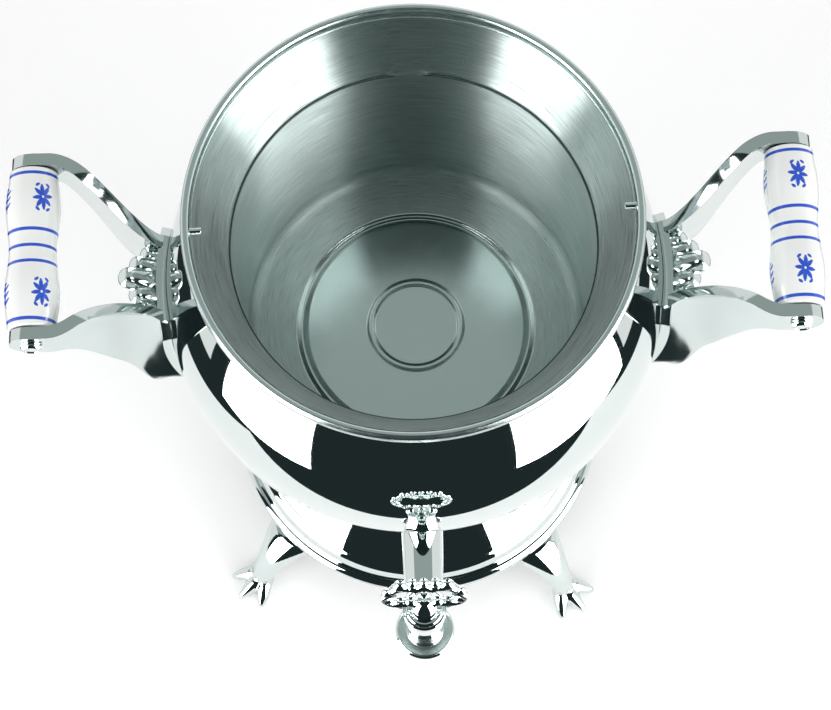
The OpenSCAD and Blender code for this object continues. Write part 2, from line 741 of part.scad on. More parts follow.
bolt_r = 2;
bolt_depth = 6;
bolt_head_r = 4.2;
bolt_head_h = 4;
arm_bury = 13;
plate_over = 6;
plate_round = 8;
petal_r = 4.6;
petal_gap = 5.5;
petal_fan = 4;
petal_lean = 48;
petal_rise = 5;
petal_blunt = 0.6;
bolt_y = 2 * petal_gap;
bolt_z = belly_z + petal_rise + bolt_r * 2;
grip_clear = 3;
grip_nut_r = 5;
grip_nut_t = 2.6;
plate_low = rim_z - arm_root_low;
plate_high = rim_z - arm_root_top + plate_over;
tip_y = grip_l / 2 + washer_t + arm_t / 2;

// Bends of an arm: how far inside the belly's round each starts and how far short of the grip it ends
side_bend = [-0.5, 6.9];
top_bend = [9.5, 18.2];
low_bend = [-5.8, 10.6];
function bend(x, b) = between(x, belly_r - b[0], grip_x - b[1]);
function arm_y(x) = arm_root_y + (tip_y - arm_root_y) * bend(x, side_bend);
function arm_top(x) = rim_z - arm_root_top + (arm_root_top - arm_tip_top) * bend(x, top_bend);
function arm_low(x) = rim_z - arm_root_low + (arm_root_low - arm_tip_low) * bend(x, low_bend);
arm_steps = 16;
arm_in = belly_r - arm_bury;
function arm_x(i) = arm_in + (grip_x - arm_in) * i / arm_steps;
function arm_side(x, side) = let (a = atan2(arm_y(x + 0.5) - arm_y(x - 0.5), 1))
    [x - side * arm_t / 2 * sin(a), arm_y(x) + side * arm_t / 2 * cos(a)];
eye_z = (arm_low(grip_x) + arm_top(grip_x)) / 2;
eye_r = (arm_top(grip_x) - arm_low(grip_x)) / 2;
arm_end = grip_x + 2 * eye_r;

module arm_plan() polygon(concat(
    [for (i = [0:arm_steps]) arm_side(arm_x(i), -1)],
    [[arm_end, tip_y - arm_t / 2], [arm_end, tip_y + arm_t / 2]],
    [for (i = [arm_steps:-1:0]) arm_side(arm_x(i), 1)]));

module arm_front() polygon(concat(
    [for (i = [0:arm_steps]) let (x = arm_x(i)) [x, arm_low(x)]],
    arc([grip_x, eye_z], eye_r, -80, 80, 10),
    [for (i = [arm_steps:-1:0]) let (x = arm_x(i)) [x, arm_top(x)]]));

module arm() {
    intersection() {
        translate([0, tip_y, grip_z]) rotate([arm_lean, 0, 0]) translate([0, -tip_y, -rim_z])
            linear_extrude(2 * rim_z) arm_plan();
        translate([0, rim_r, 0]) rotate([90, 0, 0]) linear_extrude(rim_r) arm_front();
    }
    translate([grip_x, tip_y + arm_t / 2, eye_z]) rotate([90, 0, 0]) cylinder(r = eye_r, h = arm_t);
}

module petal(length) rotate_extrude() polygon(concat([[0, 0]],
    [for (a = [15:15:165]) [petal_r * pow(sin(a), petal_blunt), length * (1 - cos(a)) / 2]], [[0, length]]));

module plate_outline() {
    high = plate_high - plate_low - plate_round;
    top = plate_w / 2 - plate_round;
    foot = plate_foot_w / 2 - plate_round;
    polygon(concat(
        arc([foot, plate_round], plate_round, -90, 0, 6),
        arc([top, high], plate_round, 0, 90, 6),
        arc([-top, high], plate_round, 90, 180, 6),
        arc([-foot, plate_round], plate_round, 180, 270, 6)));
}

module plate() difference() {
    intersection() {
        translate([0, 0, belly_z]) sphere(r = belly_r + plate_t);
        translate([0, 0, plate_low]) rotate([90, 0, 90]) linear_extrude(2 * belly_r) plate_outline();
    }
    translate([-2 * belly_r, -belly_r, 0]) cube([2.5 * belly_r, 2 * belly_r, rim_z]);
}

module bracket(side) color("silver") mirror([side > 0 ? 0 : 1, 0, 0]) difference() {
    union() {
        plate();
        arm();
        mirror([0, 1, 0]) arm();
        for (k = [-2:2]) translate([belly_r - past, k * petal_gap, belly_z + petal_rise])
            rotate([k * -petal_fan, petal_lean, 0]) petal(petal_l - abs(k) * petal_gap);
    }
    translate([grip_x - eye_r - grip_clear, -grip_l / 2 - washer_t, 0])
        cube([3 * eye_r, grip_l + 2 * washer_t, rim_z]);
    for (end = [-1, 1]) translate([grip_x, end * (tip_y + arm_t), grip_z]) rotate([90, 0, 0])
        cylinder(r = grip_nut_r + room, h = arm_t, center = true);
    translate([0, 0, belly_z]) sphere(r = belly_r + fit);
    bolt_ways(belly_r / 2, belly_r / 2 + bolt_depth - past, bolt_r + run);
    translate([grip_x, 0, grip_z]) rotate([90, 0, 0])
        cylinder(r = grip_rod_r + fit, h = 4 * tip_y, center = true);
}

module handle_bracket_left() bracket(-1);
module handle_bracket_right() bracket(1);

module bolt_places() for (side = [-1, 1], y = [-bolt_y, bolt_y])
    translate([0, y, bolt_z]) rotate([0, side * 90, 0]) children();

module bolt_ways(start, length, r) bolt_places() translate([0, 0, start]) cylinder(r = r, h = length);

bolt_seat = sqrt(pow(belly_r - shell_wall, 2) - pow(bolt_y + bolt_head_r, 2)
    - pow(bolt_z - belly_z + bolt_head_r, 2)) - run;

module handle_bolts() color("gray") bolt_places() translate([0, 0, bolt_seat]) {
    cylinder(r = bolt_r, h = belly_r + bolt_depth - 2 * past - bolt_seat);
    translate([0, 0, -bolt_head_h]) cylinder(r = bolt_head_r, h = bolt_head_h);
}

module across(side) translate([side * grip_x, 0, grip_z]) rotate([-90, 0, 0]) children();

grip_bore_r = grip_rod_r + 2 * room;
grip_wave = 40;
grip_steps = 32;
grip_mean_r = (grip_r + grip_waist_r) / 2;
function grip_at(y) = grip_mean_r - (grip_r - grip_mean_r) * cos(360 * y / grip_wave);

module grip(side) color("ivory") across(side) rotate_extrude() polygon(concat(
    [[grip_bore_r, -grip_l / 2]],
    [for (i = [0:grip_steps]) let (y = grip_l * (i / grip_steps - 0.5)) [grip_at(y), y]],
    [[grip_bore_r, grip_l / 2]]));

module grip_left() grip(-1);
module grip_right() grip(1);

nut_bevel = 1;
nut_face = 0.6;

module grip_rods() color("gray") for (side = [-1, 1]) across(side)
    cylinder(r = grip_rod_r, h = 2 * tip_y + arm_t + 2 * (grip_nut_t - nut_face), center = true);

module grip_washers() color("dimgray") for (side = [-1, 1], end = [-1, 1]) across(side)
    translate([0, 0, end * (grip_l + washer_t) / 2]) difference() {
        cylinder(r = grip_waist_r - arm_t * room, h = washer_t, center = true);
        cylinder(r = grip_rod_r + fit, h = 2 * washer_t, center = true);
    }

module grip_nuts() color("silver") for (side = [-1, 1], end = [0, 180]) across(side)
    rotate([0, end, 0]) translate([0, 0, tip_y + arm_t / 2]) difference() {
        union() {
            cylinder(r = grip_nut_r, h = grip_nut_t - nut_bevel);
            translate([0, 0, grip_nut_t - nut_bevel])
                cylinder(r1 = grip_nut_r, r2 = grip_nut_r - nut_bevel, h = nut_bevel);
        }
        translate([0, 0, -past]) cylinder(r = grip_rod_r + run, h = grip_nut_t - nut_face + run + past);
    }

outer_shell();
rim_collar();
inner_tank();
lid_pins();
waist_ring();
base_dome();
bottom_cover();
cover_screws();
foot_front_left();
foot_front_right();
foot_rear_left();
foot_rear_right();
foot_screws();
foot_pads();
heater_plate();
heating_element();
thermal_cutout();
heat_shield();
tie_rod();
tie_nuts();
thermostat();
wire_loom();
cord_gland();
control_bezel();
control_shaft();
control_knob();
pilot_lamp();
tap_shank();
tap_gaskets();
tap_nut();
tap_barrel();
tap_nozzle();
tap_bonnet();
tap_plug();
tap_key();
handle_bracket_left();
handle_bracket_right();
handle_bolts();
grip_left();
grip_right();
grip_rods();
grip_washers();
grip_nuts();
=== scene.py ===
"""Looks of an electric samovar: chromed belly, brushed tank, porcelain grips, plug tap and claw feet."""

import json
import logging
import math
from collections.abc import Callable, Sequence
from dataclasses import dataclass
from enum import Enum

import bpy
from mathutils import Euler, Matrix, Vector


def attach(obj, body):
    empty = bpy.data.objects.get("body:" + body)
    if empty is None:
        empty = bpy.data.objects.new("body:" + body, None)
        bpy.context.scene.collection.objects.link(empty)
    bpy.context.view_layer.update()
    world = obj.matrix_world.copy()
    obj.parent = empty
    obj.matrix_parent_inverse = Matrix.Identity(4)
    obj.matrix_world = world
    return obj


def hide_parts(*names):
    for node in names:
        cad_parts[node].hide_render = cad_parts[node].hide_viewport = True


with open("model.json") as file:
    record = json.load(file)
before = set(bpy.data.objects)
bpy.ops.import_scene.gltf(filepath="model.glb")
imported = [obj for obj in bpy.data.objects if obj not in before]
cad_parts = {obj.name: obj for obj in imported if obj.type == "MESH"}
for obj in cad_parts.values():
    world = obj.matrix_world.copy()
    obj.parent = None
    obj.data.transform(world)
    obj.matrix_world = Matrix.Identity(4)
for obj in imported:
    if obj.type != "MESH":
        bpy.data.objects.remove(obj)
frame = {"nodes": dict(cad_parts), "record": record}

LOG = logging.getLogger("samovar")
MM = 0.001
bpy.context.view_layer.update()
MERGE = 2e-6  # metres within which two points are one
CUT = 1e-7  # metres within which a point lies on a cutting plane
EDGE = math.radians(50)  # least angle of an edge that is rounded

Point = tuple[float, float]
Place = tuple[float, float, float]
Piece = bpy.types.Object
Tree = bpy.types.NodeTree
Node = bpy.types.Node
Socket = bpy.types.NodeSocket
Inputs = dict[str | int, object]


class Body(Enum):
    """The rigid bodies that pieces move with."""

    STAND = "samovar"
    TAP = "tap_turn"
    CONTROL = "control"


class Way(Enum):
    """The direction in which a turned piece's own height runs, as a rotation in degrees."""

    UP = (0.0, 0.0, 0.0)
    BACK = (-90.0, 0.0, 0.0)
    FRONT = (90.0, 0.0, 0.0)


class Side(Enum):
    """The two handles, by the sign of their place along X."""

    LEFT = -1
    RIGHT = 1


# Curves and colours


def linear(code: str) -> tuple[float, float, float, float]:
    """Turns an sRGB hex colour into linear light.

    Args:
        code: Colour as "#RRGGBB".

    Returns:
        Linear red, green, blue and an alpha of 1.
    """
    parts = [int(code[i:i + 2], 16) / 255 for i in (1, 3, 5)]
    light = [c / 12.92 if c <= 0.04045 else ((c + 0.055) / 1.055) ** 2.4 for c in parts]
    return (light[0], light[1], light[2], 1.0)


def clamp(x: float) -> float:
    """Keeps a value between 0 and 1."""
    return max(0.0, min(1.0, x))


def ease(x: float) -> float:
    """Gives the smooth S curve from 0 to 1."""
    t = clamp(x)
    return t * t * (3 - 2 * t)


def cubic(a: Point, b: Point, c: Point, d: Point, count: int) -> list[Point]:
    """Gives points along a cubic curve, both ends included.

    Args:
        a: Start.
        b: First control point.
        c: Second control point.
        d: End.
        count: Number of steps.

    Returns:
        The points.
    """
    points = []
    for i in range(count + 1):
        t = i / count
        s = 1 - t
        w = (s ** 3, 3 * s * s * t, 3 * s * t * t, t ** 3)
        points.append(tuple(w[0] * a[k] + w[1] * b[k] + w[2] * c[k] + w[3] * d[k] for k in (0, 1)))
    return points


def arc(centre: Point, radius: float, start: float, end: float, count: int) -> list[Point]:
    """Gives points along an arc, both ends included.

    Args:
        centre: Middle of the arc.
        radius: Its radius.
        start: First angle in degrees.
        end: Last angle in degrees.
        count: Number of steps.

    Returns:
        The points.
    """
    angles = [math.radians(start + (end - start) * i / count) for i in range(count + 1)]
    return [(centre[0] + radius * math.cos(a), centre[1] + radius * math.sin(a)) for a in angles]


def rounded(points: Sequence[Point], radius: float, count: int = 4) -> list[Point]:
    """Rounds the corners of a closed profile.

    Args:
        points: Corners of the profile.
        radius: Wished radius, less where an edge is short.
        count: Steps in each round.

    Returns:
        The points of the rounded profile.
    """
    share = 0.45  # the most of an edge that one round may take
    result: list[Point] = []
    for i, corner in enumerate(points):
        here = Vector(corner)
        back = Vector(points[i - 1]) - here
        ahead = Vector(points[(i + 1) % len(points)]) - here
        reach = min(radius, back.length * share, ahead.length * share)
        a = here + back.normalized() * reach
        b = here + ahead.normalized() * reach
        for k in range(count + 1):
            t = k / count
            p = a * (1 - t) ** 2 + here * 2 * t * (1 - t) + b * t * t
            result.append((p.x, p.y))
    return result


# Modelling tools, all in millimetres


def deselect() -> None:
    """Leaves edit mode and deselects every object."""
    if bpy.context.object and bpy.context.object.mode != "OBJECT":
        bpy.ops.object.mode_set(mode="OBJECT")
    bpy.ops.object.select_all(action="DESELECT")


def choose(*pieces: Piece) -> None:
    """Selects these pieces alone and makes the first one active.

    Args:
        pieces: What to select.
    """
    deselect()
    for piece in pieces:
        piece.select_set(True)
    bpy.context.view_layer.objects.active = pieces[0]


def edit(piece: Piece) -> None:
    """Opens a piece for editing with all of it selected.

    Args:
        piece: The piece.
    """
    choose(piece)
    bpy.ops.object.mode_set(mode="EDIT")
    bpy.ops.mesh.select_all(action="SELECT")


def named(name: str) -> Piece:
    """Names the active piece and its mesh.

    Args:
        name: The new name.

    Returns:
        The piece.
    """
    piece = bpy.context.object
    piece.name = name
    piece.data.name = name
    return piece


def settle(piece: Piece) -> Piece:
    """Puts a piece's place, turn and scale into its mesh.

    Args:
        piece: The piece.

    Returns:
        The piece.
    """
    choose(piece)
    bpy.ops.object.transform_apply(location=True, rotation=True, scale=True)
    return piece


def close_up(piece: Piece) -> Piece:
    """Merges doubled points, clears stray edges and turns the faces outwards.

    Args:
        piece: The piece.

    Returns:
        The piece.
    """
    edit(piece)
    bpy.ops.mesh.remove_doubles(threshold=MERGE)
    bpy.ops.mesh.dissolve_degenerate(threshold=MERGE)
    bpy.ops.mesh.delete_loose(use_verts=True, use_edges=True, use_faces=False)
    bpy.ops.mesh.select_all(action="SELECT")
    bpy.ops.mesh.normals_make_consistent(inside=False)
    bpy.ops.object.mode_set(mode="OBJECT")
    return piece


def finish_with(piece: Piece, kind: str, **settings: object) -> Piece:
    """Adds a modifier and applies it.

    Args:
        piece: The piece to change.
        kind: Type of the modifier.
        settings: Its settings.

    Returns:
        The piece.
    """
    choose(piece)
    modifier = piece.modifiers.new(kind, kind)
    for name, value in settings.items():
        setattr(modifier, name, value)
    bpy.ops.object.modifier_apply(modifier=modifier.name)
    return piece


def thickened(piece: Piece, thickness: float, edge: float, segments: int) -> Piece:
    """Gives a sheet its thickness and rounds its edges.

    Args:
        piece: The sheet.
        thickness: Its thickness, half to each side.
        edge: Width of the round on its edges.
        segments: Faces across the round.

    Returns:
        The closed piece.
    """
    finish_with(piece, "SOLIDIFY", thickness=thickness * MM, offset=0.0, use_even_offset=True)
    close_up(piece)
    return close_up(finish_with(piece, "BEVEL", width=edge * MM, segments=segments, limit_method="ANGLE",
                                angle_limit=EDGE))


def smooth(piece: Piece, angle: float = 35.0) -> Piece:
    """Shades a piece smooth up to an edge angle in degrees.

    Args:
        piece: The piece.
        angle: Greatest angle in degrees.

    Returns:
        The piece.
    """
    choose(piece)
    bpy.ops.object.shade_smooth_by_angle(angle=math.radians(angle))
    return piece


def spun(name: str, corners: Sequence[Point], place: Place = (0, 0, 0), way: Way = Way.UP,
         steps: int = 96, soft: float = 0.0) -> Piece:
    """Draws a closed profile point by point and spins it into a turned piece.

    Args:
        name: Name of the piece.
        corners: Points (radius, height) round the section.
        place: Where the section's zero height on the axis lies.
        way: Where the piece's own height runs.
        steps: Number of faces round the axis.
        soft: Radius to round the section's corners with.

    Returns:
        The turned piece, smooth shaded.
    """
    profile = rounded(corners, soft) if soft else corners
    deselect()
    first = profile[0]
    bpy.ops.mesh.primitive_plane_add(size=MM, location=(first[0] * MM, 0, first[1] * MM))
    piece = settle(named(name))
    edit(piece)
    bpy.ops.mesh.merge(type="CENTER")
    for a, b in zip(profile, [*profile[1:], first]):
        step = ((b[0] - a[0]) * MM, 0, (b[1] - a[1]) * MM)
        bpy.ops.mesh.extrude_region_move(TRANSFORM_OT_translate={"value": step})
    bpy.ops.mesh.select_all(action="SELECT")
    bpy.ops.mesh.remove_doubles(threshold=MERGE)
    bpy.ops.mesh.spin(steps=steps, angle=2 * math.pi, center=(0, 0, 0), axis=(0, 0, 1))
    close_up(piece)
    piece.rotation_euler = [math.radians(a) for a in way.value]
    piece.location = [c * MM for c in place]
    return smooth(settle(piece))


def draped(name: str, columns: int, rows: int, put: Callable[[float, float], Place]) -> Piece:
    """Moves the points of a flat grid onto a curved sheet.

    Args:
        name: Name of the piece.
        columns: Faces along the first direction.
        rows: Faces along the second direction.
        put: Gives the place for two shares from 0 to 1.

    Returns:
        The sheet, still without thickness.
    """
    deselect()
    bpy.ops.mesh.primitive_grid_add(x_subdivisions=columns, y_subdivisions=rows, size=1)
    piece = named(name)
    for vertex in piece.data.vertices:
        vertex.co = [c * MM for c in put(vertex.co.x + 0.5, vertex.co.y + 0.5)]
    return close_up(piece)


@dataclass(frozen=True)
class Ring:
    """One elliptical section of a lofted limb: its middle, turn in degrees and half sizes."""

    middle: Place
    turn: Place
    half_x: float
    half_y: float


def lofted(name: str, rings: Sequence[Ring], sides: int = 32) -> Piece:
    """Bridges a row of elliptical sections into a closed limb and rounds it.

    Args:
        name: Name of the piece.
        rings: The sections in order.
        sides: Points round each section.

    Returns:
        The closed limb.
    """
    def put(u: float, v: float) -> Place:
        """Gives the point at a share of the way round and along the limb.

        Args:
            u: Share of the way along the first direction.
            v: Share of the way along the second direction.

        Returns:
            The point.
        """
        ring = rings[round(v * (len(rings) - 1))]
        a = 2 * math.pi * u
        flat = Vector((ring.half_x * math.cos(a), ring.half_y * math.sin(a), 0))
        turned = Euler([math.radians(t) for t in ring.turn]).to_matrix() @ flat
        return tuple(turned + Vector(ring.middle))

    piece = draped(name, sides, len(rings) - 1, put)
    edit(piece)
    bpy.ops.mesh.fill_holes(sides=sides)
    return finish_with(close_up(piece), "SUBSURF", levels=2, render_levels=2)


def ball(name: str, middle: Place, radius: float, squash: Place = (1, 1, 1)) -> Piece:
    """Adds a ball or an egg to be cast into a larger piece.

    Args:
        name: Name of the piece.
        middle: Its middle.
        radius: Its radius.
        squash: Scale along each axis.

    Returns:
        The ball.
    """
    deselect()
    bpy.ops.mesh.primitive_uv_sphere_add(segments=24, ring_count=16, radius=radius * MM,
                                         location=[c * MM for c in middle], scale=squash)
    return settle(named(name))


def joined(name: str, parts: Sequence[Piece]) -> Piece:
    """Joins parts into one named object.

    Args:
        name: The new name.
        parts: What to join.

    Returns:
        The piece.
    """
    choose(*parts)
    bpy.ops.object.join()
    return named(name)


def cast(name: str, parts: Sequence[Piece], grain: float, passes: int) -> Piece:
    """Joins parts and melts them into one softly rounded casting.

    Args:
        name: Name of the casting.
        parts: Closed parts that overlap.
        grain: Size of the remeshing grid.
        passes: Rounds of smoothing.

    Returns:
        The casting.
    """
    piece = joined(name, parts)
    finish_with(piece, "REMESH", mode="VOXEL", voxel_size=grain * MM)
    finish_with(piece, "SMOOTH", factor=0.5, iterations=passes)
    return smooth(piece, 60)


def copied(piece: Piece, name: str, turn: float = 0.0, mirror: bool = False) -> Piece:
    """Copies a piece with a mesh of its own.

    Args:
        piece: What to copy.
        name: Name of the copy.
        turn: Turn about the upright axis in degrees.
        mirror: True to mirror it across X.

    Returns:
        The copy.
    """
    choose(piece)
    bpy.ops.object.duplicate(linked=False)
    twin = named(name)
    twin.rotation_euler = (0, 0, math.radians(turn))
    twin.scale = (-1 if mirror else 1, 1, 1)
    settle(twin)
    return close_up(twin) if mirror else twin


# Nodes


def feed(tree: Tree, node: Node, inputs: Inputs) -> None:
    """Gives a node's inputs their values and links.

    Args:
        tree: The node's tree.
        node: The node.
        inputs: Value or linked socket for each named or numbered input.
    """
    for name, value in inputs.items():
        if isinstance(value, Socket):
            tree.links.new(value, node.inputs[name])
        else:
            node.inputs[name].default_value = value


def add_node(tree: Tree, kind: str, inputs: Inputs | None = None, **settings: object) -> Node:
    """Adds a node with its settings, values and links.

    Args:
        tree: Node tree to add to.
        kind: Type name of the node.
        inputs: Value or linked socket for each named or numbered input.
        settings: Properties of the node.

    Returns:
        The new node.
    """
    node = tree.nodes.new(kind)
    for name, value in settings.items():
        setattr(node, name, value)
    feed(tree, node, inputs or {})
    return node


def shown(tree: Tree, lighting: float, seen: float) -> Socket:
    """Tells the light that falls on the scene from what is seen, in mirrors and lenses too.

    Args:
        tree: Node tree to add to.
        lighting: Level for the light that falls on the scene.
        seen: Level for what the camera sees.

    Returns:
        The level.
    """
    path = add_node(tree, "ShaderNodeLightPath").outputs
    direct = add_node(tree, "ShaderNodeMath", {
        0: path["Is Camera Ray"], 1: path["Is Glossy Ray"]}, operation="MAXIMUM")
    level = add_node(tree, "ShaderNodeMath", {
        0: direct.outputs[0], 1: path["Is Transmission Ray"]}, operation="MAXIMUM")
    return add_node(tree, "ShaderNodeMapRange", {
        "Value": level.outputs[0], "To Min": lighting, "To Max": seen}).outputs["Result"]


def blank(label: str) -> bpy.types.Material:
    """Makes an empty material with nodes.

    Args:
        label: Name of the material.

    Returns:
        The material.
    """
    made = bpy.data.materials.new(label)
    made.use_nodes = True
    return made


# Finishes

BUSY = (0.3, 0.7)  # the range in which most of a noise's values lie
MIX_A, MIX_B, MIXED = 6, 7, 2  # a Mix node's two colours and their mixture, by number


@dataclass(frozen=True)
class Finish:
    """A surface finish: one material and the record slot it belongs to."""

    label: str
    slot: str
    colour: str
    metallic: float = 0.0
    roughness: float = 0.4

    def material(self) -> bpy.types.Material:
        """Makes the material once.

        Returns:
            The material.
        """
        known = bpy.data.materials.get(self.label)
        if known:
            return known
        made = blank(self.label)
        shader = made.node_tree.nodes["Principled BSDF"]
        feed(made.node_tree, shader, {
            "Base Color": linear(self.colour), "Metallic": self.metallic, "Roughness": self.roughness})
        self.texture(made.node_tree, shader)
        return made

    def texture(self, tree: Tree, shader: Node) -> None:
        """Adds the pattern of the surface to a material's main shader."""
        self.mottle(tree, shader, size=6.0, spread=0.12, depth=0.05)

    def gloss(self, spread: float) -> Point:
        """Gives the least and the most roughness, strayed by a share to each side."""
        return (self.roughness * (1 - spread), self.roughness * (1 + spread))

    def mottle(self, tree: Tree, shader: Node, size: float, spread: float, depth: float) -> None:
        """Varies the gloss in soft patches and raises a fine grain.

        Args:
            tree: The material's nodes.
            shader: Its main shader.
            size: Size of a patch in millimetres.
            spread: How far the roughness strays, as a share of it.
            depth: Strength of the grain.
        """
        where = add_node(tree, "ShaderNodeTexCoord").outputs["Object"]
        patch = add_node(tree, "ShaderNodeTexNoise", {
            "Vector": where, "Scale": 1 / (size * MM), "Detail": 3.0}).outputs["Fac"]
        low, high = self.gloss(spread)
        gloss = add_node(tree, "ShaderNodeMapRange", {
            "Value": patch, "From Min": BUSY[0], "From Max": BUSY[1], "To Min": low, "To Max": high})
        feed(tree, shader, {"Roughness": gloss.outputs["Result"]})
        if depth > 0:
            grain = add_node(tree, "ShaderNodeBump", {"Height": patch, "Strength": depth, "Distance": 0.2 * MM})
            feed(tree, shader, {"Normal": grain.outputs["Normal"]})

    def dress(self, piece: Piece) -> Piece:
        """Gives the whole piece this finish.

        Args:
            piece: The piece.

        Returns:
            The piece.
        """
        piece.data.materials.clear()
        piece.data.materials.append(self.material())
        return piece


@dataclass(frozen=True)
class PolishedChrome(Finish):
    """Bright chrome plate on buffed metal: a clear mirror with a trace of buffing haze."""

    haze: float = 14.0

    def texture(self, tree: Tree, shader: Node) -> None:
        """Adds the buffing haze: patches a centimetre or so across, too faint to see one by one."""
        self.mottle(tree, shader, size=self.haze, spread=0.2, depth=0.0)


@dataclass(frozen=True)
class BrushedSteel(Finish):
    """Stainless steel brushed round the axis: fine rings that smear highlights into upright streaks."""

    line: float = 0.5
    streak: float = 0.8
    contrast: float = 0.3
    shade: float = 0.5
    drift: float = 2.0
    upright: float = 0.25

    def texture(self, tree: Tree, shader: Node) -> None:
        """Adds brush lines round the axis, drawn nearly half a millimetre wide so that they show.

        Args:
            tree: The material's nodes.
            shader: Its main shader.
        """
        where = add_node(tree, "ShaderNodeTexCoord").outputs["Object"]
        split = add_node(tree, "ShaderNodeSeparateXYZ", {0: where}).outputs
        flat = add_node(tree, "ShaderNodeCombineXYZ", {"X": split["X"], "Y": split["Y"]})
        radius = add_node(tree, "ShaderNodeVectorMath", {0: flat.outputs[0]}, operation="LENGTH")
        angle = add_node(tree, "ShaderNodeMath", {0: split["Y"], 1: split["X"]}, operation="ARCTAN2")
        slow = add_node(tree, "ShaderNodeMath", {0: angle.outputs[0], 1: self.drift * MM}, operation="MULTIPLY")
        along = add_node(tree, "ShaderNodeCombineXYZ", {
            "X": radius.outputs["Value"], "Y": split["Z"], "Z": slow.outputs[0]})
        lines = add_node(tree, "ShaderNodeTexNoise", {
            "Vector": along.outputs[0], "Scale": 1 / (self.line * MM), "Detail": 4.0, "Roughness": 0.6})
        height = lines.outputs["Fac"]
        spread = add_node(tree, "ShaderNodeMapRange", {
            "Value": height, "From Min": BUSY[0], "From Max": BUSY[1]}).outputs["Result"]
        low, high = self.gloss(self.contrast)
        gloss = add_node(tree, "ShaderNodeMapRange", {"Value": spread, "To Min": low, "To Max": high})
        ridges = add_node(tree, "ShaderNodeBump", {"Height": height, "Strength": 0.12, "Distance": 0.05 * MM})
        bright = linear(self.colour)
        deep = tuple(c * self.shade for c in bright[:3]) + (1.0,)
        tint = add_node(tree, "ShaderNodeMix", {0: spread, MIX_A: deep, MIX_B: bright}, data_type="RGBA")
        ring = add_node(tree, "ShaderNodeTangent", direction_type="RADIAL", axis="Z")
        feed(tree, shader, {
            "Roughness": gloss.outputs["Result"], "Normal": ridges.outputs["Normal"],
            "Base Color": tint.outputs[MIXED], "Anisotropic": self.streak,
            "Anisotropic Rotation": self.upright, "Tangent": ring.outputs["Tangent"]})


@dataclass(frozen=True)
class GlazedPorcelain(Finish):
    """White porcelain under clear glaze, with cobalt brush strokes that pool darker where they are thick."""

    cobalt: str = "#0E38B8"
    thin_cobalt: str = "#2A62DA"
    paint: str = "cobalt"

    def texture(self, tree: Tree, shader: Node) -> None:
        """Mixes the painted strokes into the white body and adds the glaze's gentle waves.

        Args:
            tree: The material's nodes.
            shader: Its main shader.
        """
        where = add_node(tree, "ShaderNodeTexCoord").outputs["Object"]
        pool = add_node(tree, "ShaderNodeTexNoise", {"Vector": where, "Scale": 1 / (1.5 * MM), "Detail": 2.0})
        blue = add_node(tree, "ShaderNodeMix", {
            0: pool.outputs["Fac"], MIX_A: linear(self.cobalt), MIX_B: linear(self.thin_cobalt)}, data_type="RGBA")
        strokes = add_node(tree, "ShaderNodeAttribute", attribute_name=self.paint)
        edge = add_node(tree, "ShaderNodeMapRange", {
            "Value": strokes.outputs["Fac"], "From Min": BUSY[0], "From Max": BUSY[1]})
        colour = add_node(tree, "ShaderNodeMix", {
            0: edge.outputs["Result"], MIX_A: linear(self.colour), MIX_B: blue.outputs[MIXED]}, data_type="RGBA")
        wave = add_node(tree, "ShaderNodeTexNoise", {"Vector": where, "Scale": 1 / (9 * MM), "Detail": 1.0})
        ripple = add_node(tree, "ShaderNodeBump", {
            "Height": wave.outputs["Fac"], "Strength": 0.05, "Distance": 0.4 * MM})
        feed(tree, shader, {
            "Base Color": colour.outputs[MIXED], "Normal": ripple.outputs["Normal"],
            "IOR": 1.52, "Coat Weight": 0.6, "Coat Roughness": 0.03})


@dataclass(frozen=True)
class LampLens(Finish):
    """Clear tinted polycarbonate: light passes into it and it looks deeper than paint."""

    def texture(self, tree: Tree, shader: Node) -> None:
        """Lets part of the light through and adds the mould's faint grain."""
        feed(tree, shader, {"Transmission Weight": 0.5, "IOR": 1.58})
        self.mottle(tree, shader, size=2.0, spread=0.2, depth=0.02)


# The belly, base, tap and feet: a clear mirror, with the room sharp in it
CHROME = PolishedChrome("polished_chrome_plate", "chrome", "#D3DBD9", 1.0, 0.03)
# The handles' plates and arms: a mirror with softened edges, its base colour a little darker than the belly's as
# painted shade, so that they look grey
DARKENED_BUFFED_CHROME = PolishedChrome("buffed_chrome_painted_darker", "chrome", "#CBD4D2", 1.0, 0.11)
# The petals: as soft, with a base colour a little brighter than the arms' as painted light, so that they stand out
# between the arms
BRIGHTENED_CHROME = PolishedChrome("chrome_plate_painted_brighter", "chrome", "#D6DEDC", 1.0, 0.12)
# The tank's wall: dull rings with broad upright streaks of light
BRUSHED = BrushedSteel("brushed_stainless_steel", "brushed_steel", "#DBE9E6", 1.0, 0.42, 0.4, 1.0, 0.3, 0.52)
# The funnel and the tank's corner: finer rings, brighter streaks
FUNNEL = BrushedSteel("fine_brushed_stainless_steel", "brushed_steel", "#DCE9E6", 1.0, 0.34, 0.35, 1.0, 0.25,
                      0.56)
# The tank's floor, the rim and the spout's flange: an even grey sheen without lines
SATIN = Finish("satin_stainless_steel", "brushed_steel", "#C8D4D2", 1.0, 0.24)
# The slopes of the floor's rings: thin bright and dark lines
BURNISHED = Finish("burnished_stainless_steel", "brushed_steel", "#C6D0CE", 1.0, 0.07)
# The seam between funnel and tank: painted shade, a dark band just under the joint that stands in for the shadow in it
PAINTED_SEAM_SHADE = Finish("painted_seam_shade", "brushed_steel", "#4A5557", 1.0, 0.5)
# Screws, rods and shields: dull grey metal
PLAIN_STEEL = Finish("plain_stainless_steel", "plain_steel", "#B4B8B8", 1.0, 0.35)
# The grips: wet-looking white with blue strokes under the gloss
PORCELAIN = GlazedPorcelain("glazed_porcelain", "porcelain", "#F3F5F3", 0.0, 0.12)
# The bottom cover: soft black, half glossy
ENAMEL = Finish("black_stove_enamel", "black_enamel", "#17181A", 0.0, 0.45)
# Pads, washers and the gland: black without gloss
RUBBER = Finish("moulded_black_rubber", "rubber", "#1B1B1C", 0.0, 0.75)
